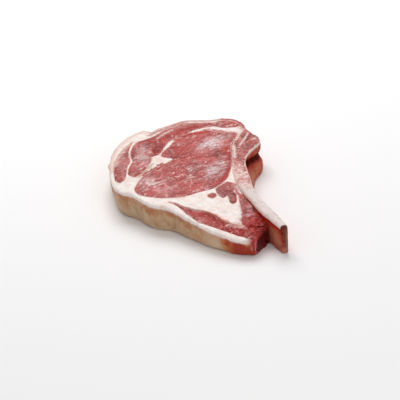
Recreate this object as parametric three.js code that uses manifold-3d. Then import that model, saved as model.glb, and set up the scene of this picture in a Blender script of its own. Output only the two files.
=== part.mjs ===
// Raw bone-in rib steak: one thick slice across the rib of beef, lying on a cut face.
// Millimetres, +Z up, the cut face on Z = 0. The rib runs along the right side (+X), its free end
// towards -Y; the thin flank end lies at the front right, the fat cover runs round the left.
import * as THREE from "three";
import { ParametricGeometry } from "three/addons/geometries/ParametricGeometry.js";
import { mergeVertices } from "three/addons/utils/BufferGeometryUtils.js";
import Module from "manifold-3d";

// Thickness of the slice at the eye and the bone
const THICKNESS = 32;

// The top face sinks towards the flank end, along FLANK_WAY, once FLANK_START is passed
const FLANK_WAY = new THREE.Vector2(0.45, -0.89);
const FLANK_START = 16;
const FLANK_LENGTH = 122;
const FLANK_DROP = 14;
const FLANK_BEND = 1.3;

// The front side leans in towards the board: its foot lies UNDERCUT behind its top edge
const UNDERCUT = 3.5;
const UNDERCUT_WAY = new THREE.Vector2(0.65, 0.76);
const UNDERCUT_START = -25;
const UNDERCUT_LENGTH = 60;
const UNDERCUT_BONE_SIDE = 66;
const UNDERCUT_FADE = 40;

// The fat cover's top edge is rounded over a shoulder, which fades towards the back, and its side swells a little
const SHOULDER_WIDTH = 9;
const SHOULDER_DROP = 2;
const SHOULDER_FADE_FROM = 50;
const SHOULDER_FADE = 55;
const SIDE_SWELL = 0.8;
const FOOT_INSET = 3.5;
const FOOT_HEIGHT = 3;
const FOOT_WAVE = 0.9;
const FOOT_WAVES = 9;

// Each muscle is domed by CROWN, with its edges rounded, and stands CLEARANCE off the fat and bone
const CROWN = 0.9;
const EDGE_ROUND = 1.2;
const CLEARANCE = 0.3;

// The rib is rounder, and its side under the sawn end is hollowed
const BONE_ROUND = 3.2;
const HOLLOW_DEPTH = 4.5;
const HOLLOW_FROM = 0.14;
const HOLLOW_TO = 0.52;

// A cutter for a muscle reaches past both cut faces
const CUTTER_REACH = 10;
// Steps between one point of an outline and the next
const STEPS = 2;
// Finer steps than this, where one surface cuts another, are smoothed out
const FINEST = 0.02;
// Keeps the room at a sharp tip from running far past it
const SHARPEST_TIP = 0.15;

// Outlines on the top face. Each piece lies between two sides that run the same way, point beside point.
const FAT = {
  // Round the cover, from the flank end over the front, the left and the back to the bone
  left: [
    [53, -131], [39, -128.5], [24, -120], [9, -109], [-4, -95], [-14, -85], [-27, -71], [-45, -62.5],
    [-55, -52], [-65, -38.5], [-78, -29], [-85.5, -12], [-88.5, 14], [-89, 40], [-86.5, 65], [-78, 88],
    [-66, 105], [-53, 114], [-46, 109], [-37, 117], [-22, 125.5], [-8, 133.5], [11, 132.5], [22, 130.5],
    [37, 133], [52, 126], [59, 113], [61, 101],
  ],
  // Along the middle of the rib, from its free stretch to the sawn end
  right: [
    [68, -105], [66.5, -95], [64, -85], [62, -75], [60.5, -66], [58.5, -58], [56.5, -50], [54.5, -42],
    [53, -34], [51.5, -25], [50.5, -16], [49.5, -7], [49, 2], [49, 10], [49, 18], [49.5, 26],
    [50, 34], [51, 42], [52, 50], [53, 57], [54, 63], [55, 69], [56, 74], [57, 79],
    [58, 84], [59, 89], [60, 93], [60.5, 97],
  ],
};
const EYE = {
  left: [
    [-35, -51], [-50, -46], [-60, -36], [-61.5, -27], [-58.5, -15], [-54, -2], [-45, 9], [-32.5, 24],
    [-25, 31], [-21, 37], [-27, 40.5], [-33, 46], [-31, 57], [-25, 67], [-20.5, 77], [-14.5, 90],
    [-3, 96], [8, 100], [19, 103],
  ],
  right: [
    [-35, -51], [-13, -50], [5, -41.5], [18, -36.5], [29, -25.5], [35, -15], [38, -3], [40, 8],
    [40.5, 17], [40.7, 26], [41, 34], [41.2, 42], [41.2, 51], [42, 61], [43.5, 70], [46.5, 79],
    [51, 88], [36, 94.5], [19, 103],
  ],
};
const CAP = {
  left: [
    [-62, -1], [-68, 6], [-68.3, 18], [-66.5, 28], [-64, 38], [-66, 49], [-66.3, 60], [-64.5, 72],
    [-60, 84], [-51, 90.5], [-41, 97.5], [-31, 109], [-19, 118.5], [-8, 126], [9, 125.5], [24, 123.5],
    [38, 126.5], [49, 120.5], [56, 110],
  ],
  right: [
    [-62, -1], [-56, 5], [-51, 16], [-47, 26], [-44.5, 35], [-43, 45], [-35, 52], [-31, 64],
    [-27.5, 74], [-21, 86], [-13, 94], [-5, 99.5], [3, 105.5], [13, 110.5], [22, 115.5], [30, 110.5],
    [38, 106.5], [48, 107.5], [56, 110],
  ],
};
const OUTER = {
  left: [
    [-77, -12], [-81.5, -5], [-83.5, 10], [-84, 26], [-83.5, 40], [-80.5, 52], [-77, 64], [-72, 76], [-64, 87],
  ],
  right: [
    [-77, -12], [-72.5, -5], [-70.7, 10], [-69.8, 25], [-66.8, 38], [-68.6, 52], [-68.6, 64], [-66.5, 76],
    [-64, 87],
  ],
};
// The flank's long strip along the front
const STRIP = {
  left: [
    [-27, -60], [-21, -61.5], [-13, -68.5], [-5, -73], [3, -76.5], [11, -80], [19, -87], [27, -97],
    [37, -103.5], [50, -103], [69.5, -106],
  ],
  right: [
    [-27, -60], [-21, -64.5], [-15, -73], [-10, -81.5], [-5, -88], [1, -95], [9, -102], [20, -109.5],
    [33, -117.5], [44, -123.5], [56.2, -127.8],
  ],
};
// The muscle between the ribs, beside the bone, which runs out into the strip
const BETWEEN_RIBS = {
  left: [[44, -45], [44.5, -52], [44.3, -60], [45.3, -70], [46.3, -80], [45.5, -90], [44.5, -98], [47, -110]],
  right: [[44, -45], [53, -52], [58, -60], [61, -70], [64, -80], [68, -90], [71, -98], [71, -106]],
};
// The lobed muscle at the angle of the rib
const LOBE_UPPER = {
  left: [[34, -23], [28, -29], [22.5, -35], [22, -42], [25, -50], [28.5, -54.5]],
  right: [[34, -23], [38.3, -25], [40, -33], [40.3, -39], [35.5, -47], [28.5, -54.5]],
};
const LOBE_LOWER = {
  left: [[33, -36], [33, -48], [34.2, -56], [34.7, -62.5], [37.5, -66]],
  right: [[33, -36], [41, -46], [42, -56], [41.3, -62.5], [37.5, -66]],
};
const SMALL = {
  left: [[17.5, -44], [13.3, -47], [13.2, -51.5], [17, -55]],
  right: [[17.5, -44], [21.3, -46.5], [21.3, -51.5], [17, -55]],
};
// The rib, from the sawn end to the free end. Its foot is narrower by the insets (a flare is negative).
const RIB = {
  left: [
    [61, 101.5], [56, 94.5], [51.5, 86], [47.5, 76], [44.5, 63], [43, 48], [42.5, 34], [41.8, 16],
    [41.5, -1], [42.5, -18], [45, -34], [50, -51], [55.5, -66], [59.5, -80], [65, -96], [72.5, -112],
    [80.5, -129],
  ],
  right: [
    [61, 101.5], [65, 93], [69, 84.5], [73.5, 77], [73.5, 62], [65, 48], [58.5, 34], [55.5, 16],
    [56.5, -1], [58.5, -18], [60, -34], [62.7, -51], [66.5, -66], [71.5, -80], [78, -96], [83.5, -112],
    [88.5, -127],
  ],
  leftInset: [0, 0, 0, 0, 0, 0, 0, 0, 0, 0, 0, 0.3, 0.8, 1.3, 1.8, 2.1, 2.1],
  rightInset: [0, -1, -2, -4, -6.5, -9, -9.5, -8.5, -5, -2, 0, 0, 0, 0, 0.2, 0.3, 0.3],
};

// Colours of the pieces
const MUSCLE_RED = 0xb04a4e;
const CAP_RED = 0xa84448;
const FAT_CREAM = 0xe9d6c8;
const BONE_WHITE = 0xdccbc0;

const wasm = await Module();
wasm.setup();

// How far a point lies along a share of a length, held between 0 and 1
const ramp = (value, start, length) => THREE.MathUtils.clamp((value - start) / length, 0, 1);

// Height of the top face: level, then sinking towards the flank end
function topHeight(x, y) {
  const past = ramp(x * FLANK_WAY.x + y * FLANK_WAY.y, FLANK_START, FLANK_LENGTH);
  return THICKNESS - FLANK_DROP * past ** FLANK_BEND;
}

// Moves a point towards the middle the lower it lies, along the front side only
function lean(point) {
  const front = ramp(point.x * FLANK_WAY.x + point.y * FLANK_WAY.y, UNDERCUT_START, UNDERCUT_LENGTH);
  const clearOfBone = ramp(UNDERCUT_BONE_SIDE - point.x, 0, UNDERCUT_FADE);
  const shift = UNDERCUT * front * clearOfBone * (1 - point.z / THICKNESS);
  point.x += UNDERCUT_WAY.x * shift;
  point.y += UNDERCUT_WAY.y * shift;
  return point;
}

// Points along a side, STEPS from one outline point to the next
function sideLine(points) {
  const curve = new THREE.CatmullRomCurve3(points.map(([x, y]) => new THREE.Vector3(x, y, 0)), false, "centripetal");
  return curve.getPoints((points.length - 1) * STEPS);
}

// The two sides of a piece, set out by a distance square to the outline that they close together
function sides(piece, out = 0) {
  const left = sideLine(piece.left);
  const right = sideLine(piece.right);
  const loop = [...left, ...right.slice().reverse()].filter((p, i, all) => p.distanceTo(all.at(i - 1)) > 1e-6);
  const turn = Math.sign(THREE.ShapeUtils.area(loop));
  const square = (from, to) => new THREE.Vector3(to.y - from.y, from.x - to.x, 0).setLength(turn);
  const outwards = (point) => {
    const at = loop.findIndex((p) => p.distanceTo(point) < 1e-6);
    const before = square(loop.at(at - 1), point);
    const after = square(point, loop[(at + 1) % loop.length]);
    return before.clone().add(after).divideScalar(Math.max(1 + before.dot(after), SHARPEST_TIP));
  };
  const moved = (line) => line.map((point) => point.clone().addScaledVector(outwards(point), out));
  return { left: moved(left), right: moved(right) };
}

// A ring point: its share of the way from the left side to the right, millimetres in from the nearer side,
// its height on the top face (level 1) or the foot (level 0), and millimetres in from that face
const ringPoint = (share, inset, level, depth) => ({ share, inset, level, depth });

// Ring of a muscle: flat foot, upright sides, domed top, every edge rounded by the same amount
function roundedRing(round, shares) {
  return [
    ringPoint(0, round, 0, 0), ringPoint(0.5, 0, 0, 0), ringPoint(1, round, 0, 0),
    ringPoint(1, 0, 0, round), ringPoint(1, 0, 1, round), ringPoint(1, round, 1, 0),
    ...shares.map((share) => ringPoint(share, 0, 1, 0)),
    ringPoint(0, round, 1, 0), ringPoint(0, 0, 1, round), ringPoint(0, 0, 0, round),
  ];
}

// Ring of a cutter: a plain upright box past both faces
const CUTTER_RING = [
  ringPoint(0, 0, 0, -CUTTER_REACH), ringPoint(1, 0, 0, -CUTTER_REACH),
  ringPoint(1, 0, 1, -CUTTER_REACH), ringPoint(0, 0, 1, -CUTTER_REACH),
];

// Ring of the whole slice: swelling side with a rounded foot on the left, plain wall on the right
const SLICE_RING = [
  ringPoint(0, FOOT_INSET, 0, 0), ringPoint(0.4, 0, 0, 0), ringPoint(0.7, 0, 0, 0), ringPoint(1, 0, 0, 0),
  ringPoint(1, 0, 1, 0), ringPoint(0.8, 0, 1, 0), ringPoint(0.6, 0, 1, 0), ringPoint(0.4, 0, 1, 0),
  ringPoint(0.22, 0, 1, 0), ringPoint(0, SHOULDER_WIDTH, 1, 0), ringPoint(0, 0.35 * SHOULDER_WIDTH, 1, 0),
  ringPoint(0, 0, 1, 0), ringPoint(0, -SIDE_SWELL, 0.55, 0), ringPoint(0, 0.2, 0, FOOT_HEIGHT),
];

// The point of a ring between two sides, before the slice leans
function acrossPoint(from, to, { share, inset }) {
  const width = from.distanceTo(to);
  const way = to.clone().sub(from).divideScalar(width || 1);
  const kept = Math.min(inset, 0.3 * width) * (share > 0.5 ? -1 : 1);
  return from.clone().lerp(to, share).addScaledVector(way, kept);
}

// The closed surface of a ring carried along its two sides. An end that doesn't taper is closed flat.
function carried({ left, right }, ring, place) {
  const last = left.length - 1;
  const flat = (i) => left[i].distanceTo(right[i]) > 1e-6;
  const rows = left.map((_, i) => i);
  if (flat(0)) rows.unshift(-1);
  if (flat(last)) rows.push(last + 1);
  const surface = (u, v, target) => {
    const row = rows[Math.round(v * (rows.length - 1))];
    const at = THREE.MathUtils.clamp(row, 0, last);
    const points = row === at ? [ring[Math.round(u * ring.length) % ring.length]] : ring;
    target.set(0, 0, 0);
    for (const point of points) target.add(place(left[at], right[at], point, at / last));
    target.divideScalar(points.length);
  };
  const geometry = new ParametricGeometry(surface, ring.length, rows.length - 1);
  geometry.deleteAttribute("normal");
  geometry.deleteAttribute("uv");
  return mergeVertices(geometry, 1e-4);
}

// A closed solid of a surface, without the faces that shrink to a line, its faces turned outwards
function solid(geometry) {
  const corners = geometry.getAttribute("position");
  const faces = [];
  for (let i = 0; i < geometry.index.count; i += 3) {
    const face = [0, 1, 2].map((k) => geometry.index.getX(i + k));
    if (new Set(face).size === 3) faces.push(face);
  }
  const [a, b, c] = [new THREE.Vector3(), new THREE.Vector3(), new THREE.Vector3()];
  const volume = faces.reduce((sum, face) => {
    [a, b, c].forEach((corner, k) => corner.fromBufferAttribute(corners, face[k]));
    return sum + a.dot(b.cross(c));
  }, 0);
  const triVerts = Uint32Array.from(faces.flatMap((face) => (volume > 0 ? face : face.reverse())));
  const mesh = new wasm.Mesh({ numProp: 3, vertProperties: corners.array, triVerts, tolerance: FINEST });
  return new wasm.Manifold(mesh);
}

// Places a ring point of a muscle or a cutter
function placeMuscle(left, right, point) {
  const place = acrossPoint(left, right, point);
  const crown = CROWN * 4 * point.share * (1 - point.share);
  const level = point.level * (topHeight(place.x, place.y) + crown);
  return lean(place.setZ(level + point.depth * (point.level ? -1 : 1)));
}

// Places a ring point of the whole slice: the rounded shoulder, and the wavy foot of the cover
function placeSlice(left, right, point, along) {
  const place = acrossPoint(left, right, point);
  const inFromSide = point.share ? SHOULDER_WIDTH : Math.max(point.inset, 0);
  const nearFront = 1 - ramp(place.y, SHOULDER_FADE_FROM, SHOULDER_FADE);
  const shoulder = SHOULDER_DROP * nearFront * (1 - inFromSide / SHOULDER_WIDTH) ** 2;
  const top = topHeight(place.x, place.y) - shoulder;
  if (point.share === 0 && point.level === 0) {
    const inwards = right.clone().sub(left).normalize();
    place.addScaledVector(inwards, FOOT_WAVE * Math.sin(2 * Math.PI * FOOT_WAVES * along));
  }
  return lean(place.setZ(point.level * top + point.depth));
}

// Places a ring point of the rib: narrower or flared at the foot, hollowed under the sawn end
function placeRib(left, right, point, along) {
  const place = acrossPoint(left, right, point);
  const upwards = point.level ? 1 - point.depth / THICKNESS : point.depth / THICKNESS;
  const insets = point.share > 0.5 ? RIB.rightInset : RIB.leftInset;
  const at = along * (insets.length - 1);
  const before = Math.min(Math.floor(at), insets.length - 2);
  const inset = THREE.MathUtils.lerp(insets[before], insets[before + 1], at - before);
  const across = right.clone().sub(left).normalize().multiplyScalar(point.share > 0.5 ? -1 : 1);
  place.addScaledVector(across, inset * (1 - upwards) * Math.abs(2 * point.share - 1));
  if (point.share === 1) {
    const middle = Math.sin(Math.PI * ramp(along, HOLLOW_FROM, HOLLOW_TO - HOLLOW_FROM));
    place.addScaledVector(across, HOLLOW_DEPTH * middle * Math.sin(Math.PI * upwards));
  }
  return place.setZ(THICKNESS * upwards);
}

// The muscle itself, and the room that it takes out of the fat
const TOP_SHARES = [0.8, 0.6, 0.4, 0.2];
const muscle = (piece, shares = TOP_SHARES) =>
  solid(carried(sides(piece), roundedRing(EDGE_ROUND, shares), placeMuscle));
const room = (piece) => solid(carried(sides(piece, CLEARANCE), CUTTER_RING, placeMuscle));

// The rib's ring has a point halfway up each side, so that the hollow shows
function ribRing() {
  const ring = roundedRing(BONE_ROUND, [0.5]);
  const low = { left: ringPoint(0, 0, 0, THICKNESS / 3), right: ringPoint(1, 0, 0, THICKNESS / 3) };
  const high = { left: ringPoint(0, 0, 1, THICKNESS / 3), right: ringPoint(1, 0, 1, THICKNESS / 3) };
  const rightFoot = ring.findIndex((p) => p.share === 1 && p.inset === 0 && p.level === 0);
  ring.splice(rightFoot + 1, 0, low.right, high.right);
  const leftTop = ring.findIndex((p) => p.share === 0 && p.inset === 0 && p.level === 1);
  ring.splice(leftTop + 1, 0, high.left, low.left);
  return ring;
}
const rib = solid(carried(sides(RIB), ribRing(), placeRib));
const ribRoom = solid(carried(sides(RIB, CLEARANCE), ribRing(), placeRib));

const NARROW = [0.5];
const flank = muscle(STRIP, NARROW).add(muscle(BETWEEN_RIBS, NARROW)).subtract(ribRoom);
const lobes = muscle(LOBE_UPPER, NARROW).add(muscle(LOBE_LOWER, NARROW));
const rooms = [EYE, CAP, OUTER, STRIP, BETWEEN_RIBS, LOBE_UPPER, LOBE_LOWER, SMALL].map(room);
const slice = solid(carried(sides(FAT), SLICE_RING, placeSlice));
const fat = slice.subtract([...rooms, ribRoom].reduce((all, next) => all.add(next)));

// A named mesh of a solid, in its own matt or moist material
function node(name, body, color, roughness) {
  const { vertProperties, triVerts } = body.getMesh();
  const geometry = new THREE.BufferGeometry();
  geometry.setAttribute("position", new THREE.BufferAttribute(vertProperties, 3));
  geometry.setIndex(new THREE.BufferAttribute(triVerts, 1));
  geometry.computeVertexNormals();
  const mesh = new THREE.Mesh(geometry, new THREE.MeshStandardMaterial({ color, roughness, metalness: 0 }));
  mesh.name = name;
  return mesh;
}

const steak = new THREE.Group();
steak.add(
  node("fat", fat, FAT_CREAM, 0.5),
  node("eye_muscle", muscle(EYE), MUSCLE_RED, 0.4),
  node("cap_muscle", muscle(CAP), CAP_RED, 0.4),
  node("outer_muscle", muscle(OUTER, NARROW), CAP_RED, 0.4),
  node("flank_muscle", flank, MUSCLE_RED, 0.4),
  node("rib_lobes", lobes, MUSCLE_RED, 0.4),
  node("small_muscle", muscle(SMALL, NARROW), MUSCLE_RED, 0.4),
  node("rib_bone", rib, BONE_WHITE, 0.55),
);

// The origin is under the middle of the slice
const box = new THREE.Box3().setFromObject(steak);
const middle = box.getCenter(new THREE.Vector3());
steak.position.set(-middle.x, -middle.y, -box.min.z);

export default steak;
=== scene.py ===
"""Dresses a raw bone-in rib steak: marbled muscles, white fat with a dried outer skin, and the sawn rib.

Every piece is a closed surface worked out on a grid in the drawing frame of the slice, in millimetres, and is
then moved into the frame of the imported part, in metres. Distances and painted marks ride along as attributes,
and the finishes turn them into colour, gloss and relief.
"""
from __future__ import annotations

import logging
import math
from collections.abc import Iterable, Sequence
from dataclasses import dataclass, field
from enum import Enum

import bpy
import numpy as np
from mathutils import Matrix

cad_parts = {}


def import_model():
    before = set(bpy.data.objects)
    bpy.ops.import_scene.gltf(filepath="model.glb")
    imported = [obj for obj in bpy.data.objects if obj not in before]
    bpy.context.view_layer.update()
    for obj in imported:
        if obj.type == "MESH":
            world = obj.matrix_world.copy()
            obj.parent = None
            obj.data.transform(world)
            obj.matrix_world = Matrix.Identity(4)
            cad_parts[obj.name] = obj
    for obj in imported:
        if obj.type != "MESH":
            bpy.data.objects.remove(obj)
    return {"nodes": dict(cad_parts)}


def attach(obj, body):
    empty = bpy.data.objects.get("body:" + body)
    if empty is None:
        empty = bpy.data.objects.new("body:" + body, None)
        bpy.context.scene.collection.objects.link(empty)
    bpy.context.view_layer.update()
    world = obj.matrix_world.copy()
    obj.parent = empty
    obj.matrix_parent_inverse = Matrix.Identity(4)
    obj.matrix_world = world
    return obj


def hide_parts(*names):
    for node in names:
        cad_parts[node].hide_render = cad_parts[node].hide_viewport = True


LOG = logging.getLogger("steak")

Array = np.ndarray
Point = tuple[float, float]
Span = tuple[float, float]
Socket = bpy.types.NodeSocket

MM = 0.001
# The drawing's origin lies this far from the part's, in millimetres
DRAWING_SHIFT = (0.709, -1.651, 0.0)
# Points closer than this, in millimetres, are one point
WELD = 1e-4
# Millimetres below which a width counts as none
TINY = 1e-6
# Pairs of a point and a line's stretch that are measured at once
BATCH = 3_000_000
# Degrees from +X that the muscles' streaks run
GRAIN_TURN = 35.0
# Samples of a muscle's side that distances are measured to
SIDE_SAMPLES = 60
# Millimetres past its tuck where a muscle's points count as inside
TUCK_SPARE = 1.0
# Millimetres that keep noises apart which are read at the same places
DRIFT_OUTLINE, DRIFT_SIDE, DRIFT_PAINT, SLIT_SHIFT = 15.0, 20.0, 40.0, 70.0
# Whole range of a mask
WHOLE: Span = (0.0, 1.0)
# Strength of each finer octave of a finish's noise
NOISE_ROUGHNESS = 0.55
# Noise of this size in millimetres has a texture scale of 1
UNIT_SIZE = 1000.0
# Sockets of a colour mix
MIX_FACTOR, MIX_A, MIX_B, MIX_OUT = 0, 6, 7, 2


class Slot(Enum):
    """Material slots of the part's record."""

    MUSCLE = "muscle"
    FAT = "fat"
    BONE = "bone"


class Mark(Enum):
    """Values that a surface carries for its finish."""

    EDGE = "edge_mm"
    FAT_GAP = "gap_mm"
    BELOW_RIM = "below_mm"
    # Dark blood, and painted shade in hollows, at the muscles' cut-off ends and under the fat's lip
    BLOOD_AND_SHADE = "blood"
    FRESH = "fresh"
    PALE = "pale"
    PLAIN = "plain"
    # Wet gloss: lower roughness, and cold white glints painted into the colour
    GLOSS_AND_GLINT = "gloss"
    MARBLE = "marble"
    LIP = "lip"
    BLUSH = "blush"
    # Stains, and on the rib a halo of painted shade round its hollow
    STAIN_AND_SHADE = "stain"
    TAN = "tan"
    SAWN = "sawn"
    NECK = "neck"
    FLANK = "flank"
    END = "end"
    ALONG = "along_streaks"
    ACROSS = "across_streaks"


class Join(Enum):
    """Ways to join the values of a mask."""

    SUM = "ADD"
    PRODUCT = "MULTIPLY"
    MOST = "MAXIMUM"


class Cell(Enum):
    """What the distance in a field of cells is measured to."""

    MIDDLE = "F1"
    EDGE = "DISTANCE_TO_EDGE"


Input = Socket | Mark | str | float | tuple[float, ...]


def ramp(value: Array, start: float, length: float) -> Array:
    """Gives the share of a length passed since its start, held between 0 and 1."""
    return np.clip((value - start) / length, 0.0, 1.0)


def smooth(value: Array, start: float, end: float) -> Array:
    """Gives a soft step from 0 at start to 1 at end: 3 t squared less 2 t cubed."""
    share = ramp(value, start, end - start)
    return share * share * (3.0 - 2.0 * share)


class Noise:
    """Seeded smooth noise in space.

    Each corner of a cubic lattice holds a random direction. Inside a cell the value is the blend of how far
    the point lies along each corner's direction, with a fifth-degree fade, so it runs from about -1 to 1.
    """

    LATTICE = 256
    GAIN = 1.7
    # Millimetres between where an octave and the next, or the noise of one axis and the other, are read
    OCTAVE_SHIFT = 31.7
    AXIS_SHIFT = 50.0

    def __init__(self, seed: int) -> None:
        """Draws the lattice.

        Args:
            seed: Number that fixes the draw.
        """
        draw = np.random.default_rng(seed)
        ways = draw.normal(size=(self.LATTICE, 3))
        self.ways = ways / np.linalg.norm(ways, axis=1, keepdims=True)
        self.order = draw.permutation(self.LATTICE)

    def octave(self, points: Array, size: float) -> Array:
        """Evaluates one octave.

        Args:
            points: Places in millimetres, with two or three numbers each.
            size: Width of a lattice cell in millimetres.

        Returns:
            One value for each place.
        """
        spread = np.zeros(points.shape[:-1] + (3,))
        spread[..., : points.shape[-1]] = points / size
        cell = np.floor(spread)
        inside = spread - cell
        corner = cell.astype(int)
        fade = inside**3 * (inside * (6.0 * inside - 15.0) + 10.0)
        total = np.zeros(points.shape[:-1])
        for step in np.ndindex(2, 2, 2):
            at = (corner + step) % self.LATTICE
            pick = self.order[at[..., 0]]
            for axis in (1, 2):
                pick = self.order[(pick + at[..., axis]) % self.LATTICE]
            weight = np.prod(np.where(step, fade, 1.0 - fade), axis=-1)
            total += weight * np.sum(self.ways[pick] * (inside - step), axis=-1)
        return self.GAIN * total

    def __call__(self, points: Array, size: float, octaves: int = 1) -> Array:
        """Sums octaves, the first with cells of a size, each next one half as wide and half as strong."""
        shares = 0.5 ** np.arange(octaves)
        return sum(share * self.octave(points + self.OCTAVE_SHIFT * share, size * share) for share in shares)

    def drift(self, points: Array, size: float, octaves: int, start: float) -> Array:
        """Gives a flat shift for each place: two noises, the first read at a start, the second past it."""
        reads = (start, start + self.AXIS_SHIFT)
        return np.stack([self(points + read, size, octaves) for read in reads], axis=-1)


NOISE = Noise(seed=7)


@dataclass(frozen=True)
class Relief:
    """Noise that stands out by a height.

    Attributes:
        height: Millimetres that a noise value of 1 stands out.
        size: Width of its widest features in millimetres.
        octaves: Number of octaves.
    """

    height: float
    size: float
    octaves: int = 1

    def at(self, points: Array) -> Array:
        """Gives the height at each place."""
        return self.height * NOISE(points, self.size, self.octaves)


def spline(points: Sequence[Point], count: int) -> Array:
    """Carries a smooth line through points.

    Centripetal Catmull-Rom: each stretch is a cubic whose end slopes come from its neighbours, timed by the
    square root of the distances between points.

    Args:
        points: Points of the line, in millimetres.
        count: Number of samples, the same for each stretch between two points.

    Returns:
        The samples, one row each.
    """
    knots = np.asarray(points, float)
    padded = np.vstack([2 * knots[0] - knots[1], knots, 2 * knots[-1] - knots[-2]])
    time = np.sqrt(np.linalg.norm(np.diff(padded, axis=0), axis=1))[:, None]
    place = np.linspace(0.0, len(knots) - 1.0, count)
    at = np.minimum(place.astype(int), len(knots) - 2)
    share = (place - at)[:, None]
    before, start, end, after = (padded[at + k] for k in range(4))
    lead, span, trail = (time[at + k] for k in range(3))
    slope_in = span * ((start - before) / lead - (end - before) / (lead + span) + (end - start) / span)
    slope_out = span * ((end - start) / span - (after - start) / (span + trail) + (after - end) / trail)
    turn = 2 * (start - end) + slope_in + slope_out
    return start + share * (slope_in + share * (3 * (end - start) - 2 * slope_in - slope_out + share * turn))


def line_gap(flat: Array, line: Array) -> Array:
    """Measures how far places lie from a line.

    Args:
        flat: Places, two numbers each.
        line: Points of the line in order.

    Returns:
        The least distance of each place to any stretch of the line.
    """
    places = flat.reshape(-1, 2)
    start, way = line[:-1], np.diff(line, axis=0)
    length = np.maximum(np.sum(way * way, axis=1), WELD**2)
    parts = np.array_split(places, 1 + places.shape[0] * len(way) // BATCH)
    gaps = []
    for part in parts:
        off = part[:, None] - start
        share = np.clip(np.sum(off * way, axis=-1) / length, 0.0, 1.0)
        away = off - share[..., None] * way
        gaps.append(np.sqrt(np.sum(away * away, axis=-1).min(axis=1)))
    return np.concatenate(gaps).reshape(flat.shape[:-1])


def loop_depth(flat: Array, loop: Array) -> Array:
    """Measures how deep places lie inside a closed loop.

    A place is inside where a ray from it towards +X crosses the loop an odd number of times.

    Args:
        flat: Places, two numbers each.
        loop: Points of the loop in order, the first not repeated.

    Returns:
        Distance to the loop, negative outside it.
    """
    ring = np.vstack([loop, loop[:1]])
    places = flat.reshape(-1, 2)
    start, end = ring[:-1], ring[1:]
    rise = np.where(start[:, 1] == end[:, 1], WELD, end[:, 1] - start[:, 1])
    odd = []
    for part in np.array_split(places, 1 + places.shape[0] * len(start) // BATCH):
        over = (start[:, 1] > part[:, 1:]) != (end[:, 1] > part[:, 1:])
        cross = start[:, 0] + (part[:, 1:] - start[:, 1]) * (end[:, 0] - start[:, 0]) / rise
        odd.append(np.sum(over & (part[:, :1] < cross), axis=1) % 2 == 1)
    inside = np.concatenate(odd).reshape(flat.shape[:-1])
    return np.where(inside, 1.0, -1.0) * line_gap(flat, ring)


@dataclass(frozen=True)
class Stroke:
    """A soft line painted on the top face.

    Attributes:
        path: Points that it runs through, in millimetres.
        width: Distance at which it has faded to about a third.
        strength: Its value on the line itself.
    """

    path: tuple[Point, ...]
    width: float
    strength: float = 1.0

    # Samples for each point of the path
    samples = 8

    def cover(self, flat: Array) -> Array:
        """Gives the stroke's value at each place: a bell curve of the distance to the path."""
        gap = line_gap(flat, spline(self.path, self.samples * len(self.path)))
        return self.strength * np.exp(-((gap / self.width) ** 2))


@dataclass(frozen=True)
class Patch:
    """A soft oval painted on the top face.

    Attributes:
        centre: Its middle, in millimetres.
        radii: Half its length and half its width.
        turn: Degrees that its length is turned from +X.
        strength: Its value at the middle.
    """

    centre: Point
    radii: Point
    turn: float = 0.0
    strength: float = 1.0

    # Power of the squared distance in its bell curve, above 1 for a flatter middle
    fall = 1.5

    def cover(self, flat: Array) -> Array:
        """Gives the patch's value: full inside, falling off as a bell curve past the radii.

        Args:
            flat: Places, two numbers each.

        Returns:
            One value for each place.
        """
        angle = math.radians(self.turn)
        off = flat - np.array(self.centre)
        along = off[..., 0] * math.cos(angle) + off[..., 1] * math.sin(angle)
        across = off[..., 1] * math.cos(angle) - off[..., 0] * math.sin(angle)
        far = (along / self.radii[0]) ** 2 + (across / self.radii[1]) ** 2
        return self.strength * np.exp(-(far**self.fall))


Painted = Stroke | Patch
Paint = tuple[Painted, ...]


def painted(marks: Iterable[Painted], flat: Array, fray: float = 1.6, size: float = 4.0) -> Array:
    """Lays painted marks over one another.

    Args:
        marks: Strokes and patches.
        flat: Places, two numbers each.
        fray: Millimetres by which noise shifts the marks' borders.
        size: Width of that noise in millimetres.

    Returns:
        The strongest mark's value at each place, and 0 where there is none.
    """
    frayed = flat + fray * NOISE.drift(flat, size, 2, DRIFT_PAINT)
    total = np.zeros(flat.shape[:-1])
    for mark in marks:
        total = np.maximum(total, mark.cover(frayed))
    return total


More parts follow.
